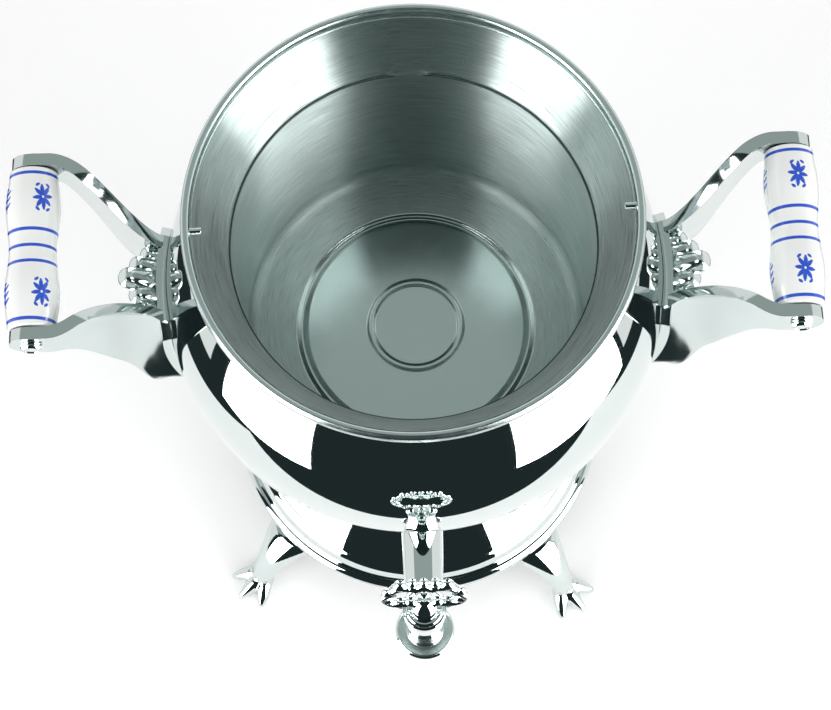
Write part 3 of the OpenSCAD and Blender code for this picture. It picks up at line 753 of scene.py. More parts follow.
# The tap's gaskets: dull brick red
SILICONE = Finish("red_silicone", "silicone", "#8E2B22", 0.0, 0.55)
# The knob and its boss: black with clear highlights
PLASTIC = Finish("black_phenolic_plastic", "black_plastic", "#151617", 0.0, 0.28)
# The pilot lamp: deep orange that light shines into
LENS = LampLens("orange_polycarbonate", "lamp_lens", "#D8481C", 0.0, 0.12)
# The wires: matt straw colour
SLEEVE = Finish("braided_glass_sleeve", "wire_sleeve", "#B9B2A0", 0.0, 0.7)
# The plug: warm yellow metal
BRASS = Finish("turned_brass", "brass", "#C79A4A", 1.0, 0.25)
# The heater plate: dull, rough light grey
ALUMINIUM = Finish("cast_aluminium", "cast_aluminium", "#9DA1A4", 1.0, 0.5)
FINISHES = (CHROME, BRUSHED, PLAIN_STEEL, PORCELAIN, ENAMEL, RUBBER, SILICONE, PLASTIC, LENS, SLEEVE,
            BRASS, ALUMINIUM)


def faced(piece: Piece, finishes: Sequence[Finish], pick: Callable[[bpy.types.MeshPolygon], int]) -> Piece:
    """Gives each face of a piece one of several finishes.

    Args:
        piece: The piece.
        finishes: The finishes.
        pick: Gives the number of a face's finish.

    Returns:
        The piece.
    """
    piece.data.materials.clear()
    for finish in finishes:
        piece.data.materials.append(finish.material())
    for face in piece.data.polygons:
        face.material_index = pick(face)
    return piece


def hand_in(piece: Piece, finish: Finish, body: Body, *nodes: str) -> None:
    """Dresses a finished piece and puts it in place of its solids.

    Args:
        piece: The finished piece.
        finish: Its main finish.
        body: The body it moves with.
        nodes: Names of the solids it stands for.
    """
    if not piece.data.materials:
        finish.dress(piece)
    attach(piece, body.value)
    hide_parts(*nodes)
    LOG.info("%s: %d faces, stands for %s", piece.name, len(piece.data.polygons), ", ".join(nodes))


# Sub-assemblies


@dataclass
class Vessel:
    """The belly, its rim collar, the tank inside it, the lid pins and the ring at its waist."""

    belly_r: float = 113.96
    belly_z: float = 256.752
    waist_r: float = 40.0
    waist_in: float = 30.0
    waist_low: float = 141.0
    shell_low: float = 150.0
    shell_hole_r: float = 22.0
    wall: float = 1.0
    neck_rise: float = 65.0
    collar_r: float = 98.2
    rim_z: float = 345.752
    rim_r: float = 100.0
    seat_z: float = 339.752
    seat_r: float = 96.0
    funnel_r: float = 95.5
    seam_r: float = 81.3
    seam_z: float = 311.052
    # Height of the band of painted shade under the seam
    seam_shade_h: float = 1.3
    seam_gap: float = 0.05
    toe_out: float = 1.4
    toe_up: float = 2.9
    lip: float = 2.0
    tank_r: float = 80.7
    tank_corner: float = 7.0
    floor_z: float = 197.752
    floor_t: float = 3.0
    level: float = 0.995
    groove_r: float = 57.6
    groove_w: float = 6.2
    groove_d: float = 1.4
    ring_r: float = 21.5
    ring_w: float = 3.6
    ring_h: float = 0.9
    pin_r: float = 1.5
    pin_reach: float = 5.0
    pin_root: float = 2.0
    pin_turn: float = 1.8
    bump_half: float = 9.5
    bump_h: float = 1.6
    bump_rise: float = 3.6
    bump_ease: Point = (3.0, 1.2)

    def wall_line(self, radius: float, rim: float) -> list[Point]:
        """Gives one side of the shell from its waist to its rim.

        Args:
            radius: Radius of the ball.
            rim: Radius at the top of the neck.

        Returns:
            The points from the waist up.
        """
        end_z = self.belly_z + self.neck_rise
        top_r = math.sqrt(radius ** 2 - self.neck_rise ** 2)
        lean = self.neck_rise / top_r
        low = -math.degrees(math.acos(self.waist_r / radius))
        high = math.degrees(math.acos(top_r / radius))
        line = arc((0, self.belly_z), radius, low, high, 64)
        neck = cubic((top_r, end_z), (top_r - lean * 2, end_z + 3), (rim - 4, self.seat_z - 7.5),
                     (rim, self.seat_z), 14)
        return line + neck[1:]

    def shell(self) -> Piece:
        """Builds the round belly shell.

        Returns:
            The piece.
        """
        outer = self.wall_line(self.belly_r, self.collar_r)
        inner = self.wall_line(self.belly_r - self.wall, self.collar_r - self.wall)
        floor = [(self.shell_hole_r, self.shell_low + self.wall), (self.shell_hole_r, self.shell_low)]
        return spun("belly_shell", outer + inner[::-1] + floor, steps=192)

    def press_rest(self, piece: Piece) -> None:
        """Presses the small rest into the back of the funnel's foot.

        Args:
            piece: The piece.
        """
        side, top = self.bump_ease
        for vertex in piece.data.vertices:
            radius = math.hypot(vertex.co.x, vertex.co.y) / MM
            height = vertex.co.z / MM - self.seam_z
            across = abs(vertex.co.x) / MM
            inside = vertex.co.y > 0 and radius < self.funnel_r
            if inside and across < self.bump_half and 0 < height < self.bump_rise:
                inwards = (self.bump_h * ease((self.bump_half - across) / side)
                           * ease((self.bump_rise - height) / top))
                vertex.co.x *= 1 - inwards / radius
                vertex.co.y *= 1 - inwards / radius

    def collar(self) -> Piece:
        """Builds the satin rim and its brushed funnel, with a pressed rest at the back.

        Returns:
            The piece.
        """
        r, z, gap = self.seam_r, self.seam_z, self.seam_gap
        run, rise = self.funnel_r - r, self.seat_z - z
        shift = self.wall * math.hypot(1, run / rise)
        edge = self.rim_z - self.lip
        slope = cubic((r + 0.25, z + gap), (r - 0.1, z + 0.9), (r + 0.6, z + 1.8),
                      (r + self.toe_out, z + self.toe_up), 6)
        cone = [(r + self.toe_out + (run - self.toe_out) * t, z + self.toe_up + (rise - self.toe_up) * t)
                for t in (0.2, 0.4, 0.6, 0.8, 0.97)]
        seat = [(self.funnel_r - 0.1, self.seat_z - gap), (self.seat_r - 0.3, self.seat_z),
                (self.seat_r, self.seat_z + 0.4)]
        lip = (arc((self.seat_r + self.lip, edge), self.lip, 180, 90, 8)
               + arc((self.rim_r - self.lip, edge), self.lip, 90, 0, 8))
        under = [(self.rim_r, self.seat_z + 1), (self.rim_r - 1, self.seat_z),
                 (self.funnel_r + shift, self.seat_z), (r + shift, z + gap)]
        piece = spun("rim_funnel", slope + cone + seat + lip + under, steps=192)
        self.press_rest(piece)
        return faced(piece, (FUNNEL, SATIN), lambda face: int(face.center.z / MM > self.seat_z - 0.2))

    def tank_finish(self, face: bpy.types.MeshPolygon) -> int:
        """Gives the number of a tank face's finish: wall, floor, corner, slopes of the rings or the band of painted
        shade under the seam.

        Args:
            face: The face.

        Returns:
            The number.
        """
        height = face.center.z / MM
        # Painted shade: the faces just under the seam take a dark colour that stands in for the shadow in the joint
        if height > self.seam_z - self.seam_shade_h:
            return 4
        if math.hypot(face.center.x, face.center.y) / MM < self.groove_r + 0.7:
            return 1 if abs(face.normal.z) > self.level else 3
        return 2 if height < self.floor_z + self.tank_corner else 0

    def tank(self) -> Piece:
        """Builds the tank with its pressed floor and a band of painted shade under the seam at its mouth.

        Returns:
            The piece.
        """
        floor, bottom = self.floor_z, self.floor_z - self.floor_t
        corner = (self.tank_r - self.tank_corner, floor + self.tank_corner)
        wide, half = self.ring_w / 2, self.ring_w / 4
        top = floor + self.ring_h
        groove_in = self.groove_r - self.groove_w
        plate = rounded([(0, bottom), (0, floor), (self.ring_r - wide, floor), (self.ring_r - half, top),
                         (self.ring_r + half, top), (self.ring_r + wide, floor), (groove_in, floor)], 0.7)
        plate = [p for p in plate if 1 < p[0] < groove_in - 1 and p[1] > floor - 2]
        groove = [(groove_in + self.groove_w * t, floor - self.groove_d * math.sin(math.pi * t) ** 2)
                  for t in (i / 16 for i in range(17))]
        bowl = arc(corner, self.tank_corner, -90, 0, 10)
        end = self.seam_z - self.seam_gap
        # The first point marks the lower edge of the band of painted shade under the seam
        mouth = [(self.tank_r, self.seam_z - self.seam_shade_h), (self.tank_r, self.seam_z - 0.4),
                 (self.tank_r + 0.25, end), (self.tank_r + self.wall, end)]
        back = arc(corner, self.tank_corner + self.wall, 0, -80, 8)
        under = [(corner[0] - 4, bottom), (0, bottom)]
        piece = spun("water_tank", [(0, floor)] + plate + groove + bowl + mouth + back + under, steps=160)
        return faced(piece, (BRUSHED, SATIN, FUNNEL, BURNISHED, PAINTED_SEAM_SHADE), self.tank_finish)

    def pin(self) -> Piece:
        """Builds the two lid pins as one piece.

        Returns:
            The piece.
        """
        pins = []
        length = self.pin_reach + self.pin_root
        for side in (0, 180):
            one = spun("lid_pin", [(0, 0), (self.pin_r, 0), (self.pin_r, length), (0, length)], steps=24,
                       soft=0.35)
            one.rotation_euler = (0, math.radians(90), 0)
            one.location = ((self.seat_r - self.pin_reach) * MM, 0, (self.seat_z + self.pin_r + 0.3) * MM)
            settle(one)
            one.rotation_euler = (0, 0, math.radians(side + self.pin_turn))
            pins.append(settle(one))
        return joined("lid_pins_round", pins)

    def waist(self) -> Piece:
        """Builds the half-round ring between base and belly.

        Returns:
            The piece.
        """
        half = (self.shell_low - self.waist_low) / 2
        bead = arc((self.waist_r + 1, self.waist_low + half), half, -90, 90, 24)
        return spun("waist_bead", [(self.waist_in, self.waist_low)] + bead + [(self.waist_in, self.shell_low)],
                    steps=128)

    def build(self) -> None:
        """Builds and dresses the whole vessel."""
        hand_in(self.shell(), CHROME, Body.STAND, "outer_shell")
        hand_in(self.collar(), FUNNEL, Body.STAND, "rim_collar")
        hand_in(self.tank(), BRUSHED, Body.STAND, "inner_tank")
        hand_in(self.pin(), CHROME, Body.STAND, "lid_pins")
        hand_in(self.waist(), CHROME, Body.STAND, "waist_ring")


@dataclass
class Stand:
    """The domed base, its bottom cover, the four claw feet and their pads."""

    foot_h: float = 41.0
    base_r: float = 95.5
    dome_r: float = 46.0
    dome_z: float = 141.0
    wall: float = 1.6
    hole_r: float = 30.0
    bead_r: float = 3.7
    flange_in: float = 73.0
    flange_t: float = 2.0
    cover_r: float = 79.5
    cover_t: float = 2.0
    cover_hole_r: float = 4.1
    root_r: float = 87.0
    ankle_x: float = 114.0
    paw_z: float = 4.2
    toe_l: float = 18.0
    toe_angle: float = 38.0
    pad_r: float = 5.0
    pad_t: float = 1.5
    pad_out: float = 4.0
    feet_turn: float = -4.0
    # Curves of the step and the shoulder under the dome: two controls, the end, and steps; heights above the feet
    mouldings: tuple[tuple[Point, Point, Point, int], ...] = (
        ((77, 30), (82, 25), (85.5, 20), 10), ((86, 19.2), (86.4, 18.5), (87.4, 18.2), 5),
        ((89.6, 17), (91, 13), (91.2, 9.5), 10))
    # Sections of a toe: share of its length, radius and height
    toe_rows: tuple[Place, ...] = (
        (-0.45, 4.4, 7.0), (0.0, 5.0, 6.4), (0.25, 4.9, 6.6), (0.5, 4.4, 5.8), (0.75, 3.2, 4.0), (0.92, 2.0, 2.6),
        (1.0, 1.1, 1.9))

    def dome(self) -> Piece:
        """Builds the base: a dome, a step and a round bead over the feet.

        Returns:
            The piece.
        """
        low = self.foot_h
        roof = self.dome_z - self.wall
        outer = cubic((self.dome_r, self.dome_z), (self.dome_r + 1, self.dome_z - 33), (60, low + 47),
                      (72, low + 35), 28)
        for *controls, count in self.mouldings:
            outer += cubic(outer[-1], *[(r, low + rise) for r, rise in controls], count)[1:]
        outer += arc((self.base_r - self.bead_r, low + 3.8), self.bead_r, 85, -80, 20)
        foot = [(self.base_r - 4, low), (self.flange_in, low), (self.flange_in, low + self.flange_t)]
        inner = [(88, low + self.flange_t), (88, low + 10), (83, low + 19), (71, low + 33), (58, low + 48),
                 (49, self.dome_z - 30), (44.4, roof), (self.hole_r, roof)]
        return spun("base_bell", [(self.hole_r, self.dome_z)] + outer + foot + inner, steps=192)

    def cover(self) -> Piece:
        """Builds the bottom cover with its rolled edge and pressed ring.

        Returns:
            The piece.
        """
        low = self.foot_h - self.cover_t
        ring = [(30, low), (32, low + 0.6), (38, low + 0.6), (40, low)]
        return spun("bottom_pan", [(self.cover_hole_r, low), *ring, (self.cover_r, low),
                                   (self.cover_r, self.foot_h), (self.cover_hole_r, self.foot_h)], soft=0.8)

    def toe(self, place: int) -> Piece:
        """Builds one toe: a knuckle that runs down to a pointed claw.

        Args:
            place: -1, 0 or 1, 0 for the middle toe.

        Returns:
            The toe.
        """
        length = self.toe_l - 2 * abs(place)
        heading = math.radians(place * self.toe_angle)
        rings = []
        for share, radius, rise in self.toe_rows:
            reach = length * share
            middle = (self.ankle_x + reach * math.cos(heading), 2 * place + reach * math.sin(heading), rise)
            rings.append(Ring(middle, (0, 90, math.degrees(heading)), radius, radius * 0.9))
        return lofted("toe", rings)

    def leg(self) -> Piece:
        """Builds the leg from its root under the base to the paw.

        Returns:
            The piece.
        """
        root, top = self.root_r, self.foot_h
        rows = [(root, top, 14.5, 7), (root + 8, top - 7, 13, 7), (root + 16, top - 14, 9.5, 6.5),
                (root + 23, top - 22, 7, 5.5), (self.ankle_x, 11, 6.4, 5.2),
                (self.ankle_x + 4, self.paw_z, 7, 4)]
        rings = []
        for i, (x, z, wide, deep) in enumerate(rows):
            ahead, behind = rows[min(i + 1, len(rows) - 1)], rows[max(i - 1, 0)]
            lean = math.degrees(math.atan2(ahead[0] - behind[0], behind[1] - ahead[1])) if i else 0.0
            rings.append(Ring((x, 0, z), (0, 180.0 - lean, 0), deep, wide))
        return lofted("leg", rings)

    def foot(self) -> Piece:
        """Builds one claw foot along +X, a leg with three toes cut flat at both ends.

        Returns:
            The piece.
        """
        piece = cast("claw_foot", [self.leg(), *(self.toe(k) for k in (-1, 0, 1))], 0.4, 14)
        for height, over in ((self.pad_t / 2, False), (self.foot_h, True)):
            edit(piece)
            bpy.ops.mesh.bisect(plane_co=(0, 0, height * MM), plane_no=(0, 0, 1), use_fill=True,
                                clear_inner=not over, clear_outer=over, threshold=CUT)
        bpy.ops.object.mode_set(mode="OBJECT")
        return smooth(piece, 60)

    def pads(self) -> Piece:
        """Builds the four rubber pads as one piece.

        Returns:
            The piece.
        """
        profile = [(0, 0), (self.pad_r, 0), (self.pad_r, self.pad_t), (0, self.pad_t)]
        reach = self.ankle_x + self.pad_out
        turns = [math.radians(45 + 90 * i + self.feet_turn) for i in range(4)]
        return joined("foot_pads_round", [
            spun("pad", profile, (reach * math.cos(a), reach * math.sin(a), 0), steps=32, soft=0.4) for a in turns])

    def build(self) -> None:
        """Builds and dresses the stand."""
        hand_in(self.dome(), CHROME, Body.STAND, "base_dome")
        hand_in(self.cover(), ENAMEL, Body.STAND, "bottom_cover")
        hand_in(self.pads(), RUBBER, Body.STAND, "foot_pads")
        pattern = self.foot()
        for name, turn in (("rear_right", 45), ("rear_left", 135), ("front_left", -135), ("front_right", -45)):
            foot = copied(pattern, "claw_" + name, turn + self.feet_turn)
            hand_in(smooth(foot, 60), CHROME, Body.STAND, "foot_" + name)
        bpy.data.objects.remove(pattern)


@dataclass
class Tap:
    """The plug tap: shank, barrel, flared nozzle, bonnet and the openwork key."""

    reach: float = 145.0
    axis_z: float = 210.752
    water_r: float = 3.6
    shank_r: float = 9.5
    shank_taper: float = 0.5
    shank_in: float = 83.7
    shank_out: float = 131.5
    barrel_r: float = 9.5
    throat_r: float = 7.9
    barrel_low: float = 195.752
    barrel_high: float = 221.752
    skirt_r: float = 13.97
    skirt_h: float = 18.0
    roll_r: float = 1.7
    outlet_r: float = 5.0
    stem_r: float = 3.6
    bonnet_h: float = 4.0
    hub_z: float = 226.052
    hub_r: float = 6.0
    hub_h: float = 9.0
    key_w: float = 39.0
    key_mid: float = 248.052
    key_lean: float = 6.0
    bar_r: float = 2.0
    bars: int = 72

    def shank(self) -> Piece:
        """Builds the tapered shank from the belly to the barrel.

        Returns:
            The piece.
        """
        length = self.shank_out - self.shank_in
        profile = [(self.water_r, 0), (self.shank_r + self.shank_taper, 0),
                   (self.shank_r - self.shank_taper, length), (self.water_r, length)]
        return spun("tap_neck", profile, (0, -self.shank_in, self.axis_z), Way.FRONT, soft=0.4)

    def barrel(self) -> Piece:
        """Builds the upright barrel and its side socket.

        Returns:
            The piece.
        """
        height = self.barrel_high - self.barrel_low
        upright = [(self.water_r, 0), (self.throat_r, 0), (self.barrel_r - 0.6, height * 0.5),
                   (self.barrel_r, height * 0.55), (self.barrel_r, height), (self.water_r, height)]
        body = spun("barrel", upright, (0, -self.reach, self.barrel_low), soft=0.5)
        run = self.reach - self.shank_out
        side_r = self.shank_r - self.shank_taper
        side = [(self.water_r, 0), (side_r, 0), (side_r, run), (self.water_r, run)]
        socket = spun("socket", side, (0, -self.shank_out, self.axis_z), Way.FRONT, soft=0.3)
        return smooth(joined("tap_body", [body, socket]))

    def nozzle(self) -> Piece:
        """Builds the flared nozzle, polished but for the satin top of its flange.

        Returns:
            The piece.
        """
        low = self.barrel_low - self.skirt_h
        top = low + 2 * self.roll_r
        flare = cubic((self.throat_r, self.barrel_low), (self.throat_r - 0.8, self.barrel_low - 6),
                      (self.throat_r - 0.6, top + 0.2), (self.throat_r + 0.9, top), 20)
        roll = arc((self.skirt_r - self.roll_r, low + self.roll_r), self.roll_r, 90, -90, 24)
        profile = [(self.outlet_r, self.barrel_low)] + flare + roll + [(self.outlet_r, low)]
        piece = spun("tap_spout", profile, (0, -self.reach, 0))
        return faced(piece, (CHROME, SATIN), lambda face: int(abs(face.center.z / MM - top) < 0.2))

    def bonnet(self) -> Piece:
        """Builds the screwed bonnet over the plug.

        Returns:
            The piece.
        """
        low, top = self.barrel_high, self.barrel_high + self.bonnet_h
        shoulder, hole = self.barrel_r - 1, self.stem_r + 0.1
        rim = rounded([(shoulder, low), (self.barrel_r + 0.6, low), (self.barrel_r + 0.6, low + 3),
                       (shoulder, low + 3.4)], 0.5)
        cap = cubic((shoulder, low + 3.5), (shoulder - 0.5, low + 4), (self.stem_r + 4, top),
                    (self.stem_r + 2, top), 6)
        return spun("tap_cap", [(hole, low)] + rim[3:] + cap + [(hole, top)], (0, -self.reach, 0))

    def outline(self, angle: float) -> float:
        """Gives how far the key's frame reaches from its middle, to the middle of its bar.

        Args:
            angle: Direction in radians, from +X towards up.

        Returns:
            The reach in millimetres.
        """
        far = 0.0
        rounds = [(s * self.key_w * 0.27, -3.0, 9.5) for s in (-1, 1)]
        rounds += [(s * self.key_w * 0.22, 5.5, 7.2) for s in (-1, 1)]
        rounds += [(0.0, -6.0, 8.5), (0.0, 6.0, 6.5)]
        for x, z, r in rounds:
            along = x * math.cos(angle) + z * math.sin(angle)
            gap = (r - self.bar_r) ** 2 - (x * x + z * z - along * along)
            if gap >= 0:
                far = max(far, along + math.sqrt(gap))
        return far

    def key(self) -> Piece:
        """Builds the key: a hub, an openwork frame with lobes and a row of beads on top.

        Returns:
            The piece.
        """
        hub = [(0, 0), (self.hub_r, 0), (self.hub_r, self.hub_h), (self.hub_r - 2.2, 13), (0, 14.5)]
        parts = [spun("hub", hub, (0, -self.reach, self.hub_z), steps=48, soft=1.2)]

        def add(name: str, x: float, z: float, radius: float, thick: float = 1.0) -> None:
            """Adds one ball of the key, by its place from the key's middle and its thickness as a share."""
            parts.append(ball(name, (x, -self.reach, self.key_mid + z), radius, (1, thick, 1)))

        for i in range(self.bars):
            a = 2 * math.pi * i / self.bars
            reach = self.outline(a)
            add("bar", reach * math.cos(a), reach * math.sin(a), self.bar_r, 1.22)
        lobes = ((self.key_w / 2 - 3, -5, 3), (self.key_w / 2 - 3.4, 4, 2.8), (self.key_w * 0.27, 12.2, 3.2),
                 (self.key_w * 0.27, -12.8, 2.6))
        for x, z, r in lobes:
            for s in (-1, 1):
                add("lobe", s * x, z, r, 0.8)
        for x in (-5, 0, 5):
            for rise, radius in ((8, 1.5), (11, 1.5), (14, 1.5), (15.6, 2.1)):
                add("bead", x, rise, radius)
        piece = cast("tap_key_openwork", parts, 0.35, 5)
        for vertex in piece.data.vertices:
            above = max(0.0, vertex.co.z - (self.hub_z + self.hub_h) * MM)
            vertex.co.y += above * math.tan(math.radians(self.key_lean))
        return piece

    def build(self) -> None:
        """Builds and dresses the tap."""
        hand_in(self.shank(), CHROME, Body.STAND, "tap_shank")
        hand_in(self.barrel(), CHROME, Body.STAND, "tap_barrel")
        hand_in(self.nozzle(), CHROME, Body.STAND, "tap_nozzle")
        hand_in(self.bonnet(), CHROME, Body.STAND, "tap_bonnet")
        hand_in(self.key(), CHROME, Body.TAP, "tap_key")


@dataclass
class Handles:
    """Two brackets that hug the belly, each with two curved arms, a fan of petals and a porcelain grip."""

    belly_r: float = 114.0
    belly_z: float = 256.752
    rim_z: float = 345.752
    grip_x: float = 167.4
    grip_z: float = 313.252
    grip_l: float = 73.6
    grip_r: float = 12.28
    grip_waist_r: float = 10.6
    grip_wave: float = 40.0
    grip_edge: float = 0.9
    grip_rows: int = 260
    bore_r: float = 3.1
    washer_t: float = 0.7
    washer_in: float = 2.6
    washer_out: float = 9.0
    arm_t: float = 5.5
    arm_in: float = 101.0
    arm_turn: float = 0.85
    arm_root_y: float = 15.5
    arm_tip_y: float = 40.25
    arm_root_top: float = 77.0
    arm_root_low: float = 123.0
    arm_tip_top: float = 23.0
    arm_tip_low: float = 42.5
    arm_lean: float = 3.5
    lean_bend: Point = (138.0, 156.0)
    flare: float = 7.0
    flare_z: float = 264.0
    flare_power: float = 1.6
    flare_bend: Point = (122.0, 136.0)
    side_bend: Point = (114.5, 160.5)
    top_bend: Point = (104.5, 149.2)
    low_bend: Point = (119.8, 156.8)
    plate_t: float = 4.4
    plate_half: float = 26.5
    plate_foot_half: float = 31.0
    plate_round: float = 8.0
    petal_l: float = 26.0
    petal_r: float = 5.0
    petal_swell: Point = (1.2, 0.13)
    petal_blunt: float = 0.42
    petal_gap: float = 5.8
    petal_fan: float = 4.0
    petal_tilt: float = 48.0
    petal_rise: float = 5.0
    nut_r: float = 4.8
    nut_t: float = 2.6
    nut_sink: float = 0.5
    band_w: float = 1.5
    bands: tuple[float, ...] = (0.0, 7.4, 33.8)
    motif_half: Point = (7.0, 9.0)
    motif_row: float = 22.0
    motif_turn: Point = (118.0, 82.0)

    def along(self, x: float, bend: Point) -> float:
        """Gives the smooth share of a bend, between two distances from the axis, at a distance."""
        return ease((x - bend[0]) / (bend[1] - bend[0]))

    def arm_y(self, x: float) -> float:
        """Gives an arm's distance from the middle plane at a distance from the axis."""
        return self.arm_root_y + (self.arm_tip_y - self.arm_root_y) * self.along(x, self.side_bend)

    def arm_edges(self, x: float) -> Point:
        """Gives the heights of an arm's lower and top edge.

        Args:
            x: Distance from the axis.

        Returns:
            The two heights.
        """
        low, top = ((self.rim_z - tip - (root - tip) * (1 - self.along(x, bend))) for root, tip, bend in (
            (self.arm_root_low, self.arm_tip_low, self.low_bend), (self.arm_root_top, self.arm_tip_top, self.top_bend)))
        return (low, top)

    def arm_point(self, u: float, v: float) -> Place:
        """Gives a point of an arm's middle sheet.

        Args:
            u: Share of the way from the belly to the arm's round end.
            v: Share of the way from the lower to the top edge.

        Returns:
            The point.
        """
        turn = self.arm_turn
        if u <= turn:
            x = self.arm_in + (self.grip_x - self.arm_in) * u / turn
            low, top = self.arm_edges(x)
        else:
            low, top = self.arm_edges(self.grip_x)
            half = (top - low) / 2
            angle = math.pi / 2 * (u - turn) / (1 - turn)
            middle = (low + top) / 2
            x = self.grip_x + half * math.sin(angle)
            low, top = middle - half * math.cos(angle), middle + half * math.cos(angle)
        z = low + (top - low) * v
        lean = math.tan(math.radians(self.arm_lean)) * (1 - self.along(x, self.lean_bend))
        under = max(0.0, (self.flare_z - z) / (self.flare_z - self.rim_z + self.arm_root_low))
        flare = self.flare * under ** self.flare_power * (1 - self.along(x, self.flare_bend))
        return (x, self.arm_y(x) + lean * (self.grip_z - z) + flare, z)

    def arm(self, side: int) -> Piece:
        """Builds one arm of the right handle, ahead of or behind the middle.

        Args:
            side: -1 for the front arm, 1 for the rear arm.

        Returns:
            The piece.
        """

        def put(u: float, v: float) -> Place:
            """Gives the arm's point on this side."""
            x, y, z = self.arm_point(u, v)
            return (x, side * y, z)

        return thickened(draped("arm", 72, 14, put), self.arm_t, 0.7, 3)

    def plate(self) -> Piece:
        """Builds the plate that hugs the belly.

        Returns:
            The piece.
        """
        low = self.rim_z - self.arm_root_low - 3
        high = self.rim_z - self.arm_root_top + 6
        mid_r = self.belly_r + 0.1 + self.plate_t / 2

        def put(u: float, v: float) -> Place:
            """Gives a point of the plate's middle sheet.

            Args:
                u: Share of the way along the first direction.
                v: Share of the way along the second direction.

            Returns:
                The point.
            """
            z = low + (high - low) * (1 - math.cos(math.pi * v)) / 2
            half = self.plate_foot_half + (self.plate_half - self.plate_foot_half) * (z - low) / (high - low)
            near = max(0.0, self.plate_round - min(z - low, high - z))
            y = (half - self.plate_round + math.sqrt(self.plate_round ** 2 - near ** 2)) * (2 * u - 1)
            return (math.sqrt(mid_r ** 2 - y * y - (z - self.belly_z) ** 2), y, z)

        return thickened(draped("plate", 40, 40, put), self.plate_t, 1.2, 4)

    def petal(self, place: int) -> Piece:
        """Builds one petal of the fan between the arms.

        Args:
            place: Number of the petal, from -2 to 2, 0 in the middle.

        Returns:
            The petal.
        """
        length = self.petal_l - self.petal_gap * abs(place)
        radius = self.petal_r * (self.petal_swell[0] - self.petal_swell[1] * abs(place))
        turns = [math.pi * i / 32 for i in range(1, 32)]
        line = [(radius * math.sin(a) ** self.petal_blunt, length * (1 - math.cos(a)) / 2) for a in turns]
        piece = spun("petal", [(0, 0)] + line + [(0, length)], steps=40)
        piece.rotation_euler = (math.radians(-self.petal_fan * place), math.radians(self.petal_tilt), 0)
        piece.location = ((self.belly_r - 1) * MM, self.petal_gap * place * MM,
                          (self.belly_z + self.petal_rise) * MM)
        return settle(piece)

    def bracket(self) -> Piece:
        """Builds the right bracket.

        Returns:
            The piece.
        """
        # The plate and arms take chrome painted a little darker, as painted shade
        parts = [DARKENED_BUFFED_CHROME.dress(part) for part in (self.plate(), self.arm(-1), self.arm(1))]
        # The petals take chrome painted a little brighter, as painted light
        parts += [BRIGHTENED_CHROME.dress(self.petal(k)) for k in (-2, -1, 0, 1, 2)]
        return smooth(joined("bracket_right", parts), 40)

    def grip_at(self, y: float) -> float:
        """Gives the grip's radius at a distance from its middle."""
        mean = (self.grip_r + self.grip_waist_r) / 2
        return mean - (self.grip_r - self.grip_waist_r) / 2 * math.cos(2 * math.pi * y / self.grip_wave)

    def stroke(self, u: float, v: float, start: Point, end: Point, wide: float) -> float:
        """Gives how strongly one brush stroke covers a point.

        Args:
            u: The point's place round the grip.
            v: Its place along the grip.
            start: Where the stroke begins.
            end: Where it ends.
            wide: Its half width in the middle.

        Returns:
            1 inside, 0 outside and a soft step between.
        """
        way = Vector(end) - Vector(start)
        here = Vector((u, v)) - Vector(start)
        t = clamp(here.dot(way) / way.length_squared)
        gap = (here - way * t).length
        return clamp((wide * (0.55 + 0.45 * math.sin(math.pi * t)) - gap) / 0.35 + 0.5)

    def motif(self, u: float, v: float, sprig: bool) -> float:
        """Gives how strongly a painted flower covers a point.

        Args:
            u: Place round the grip from the flower's middle.
            v: Place along the grip from the flower's middle.
            sprig: True for a leafy sprig, False for a star flower.

        Returns:
            The cover from 0 to 1.
        """
        if abs(u) > self.motif_half[0] or abs(v) > self.motif_half[1]:
            return 0.0
        if sprig:
            strokes = [((0, -5.6), (0, 5.2), 0.55)]
            strokes += [((0, z), (s * 2.9, z + 1.9), 0.75) for z in (-3.6, -0.6, 2.4) for s in (-1, 1)]
            strokes += [((-0.9, 5.4), (0.9, 5.4), 0.8)]
        else:
            strokes = []
            for k in range(4):
                a = math.pi * k / 4 + 0.12
                tip = (4.1 * math.cos(a), 5.6 * math.sin(a))
                near = (0.9 * math.cos(a), 1.2 * math.sin(a))
                strokes += [(near, tip, 0.95), ((-near[0], -near[1]), (-tip[0], -tip[1]), 0.95)]
            strokes += [((s * 1.7, w * 6.3), (s * 3.0, w * 5.2), 0.7) for s in (-1, 1) for w in (-1, 1)]
        return max(self.stroke(u, v, a, b, w) for a, b, w in strokes)

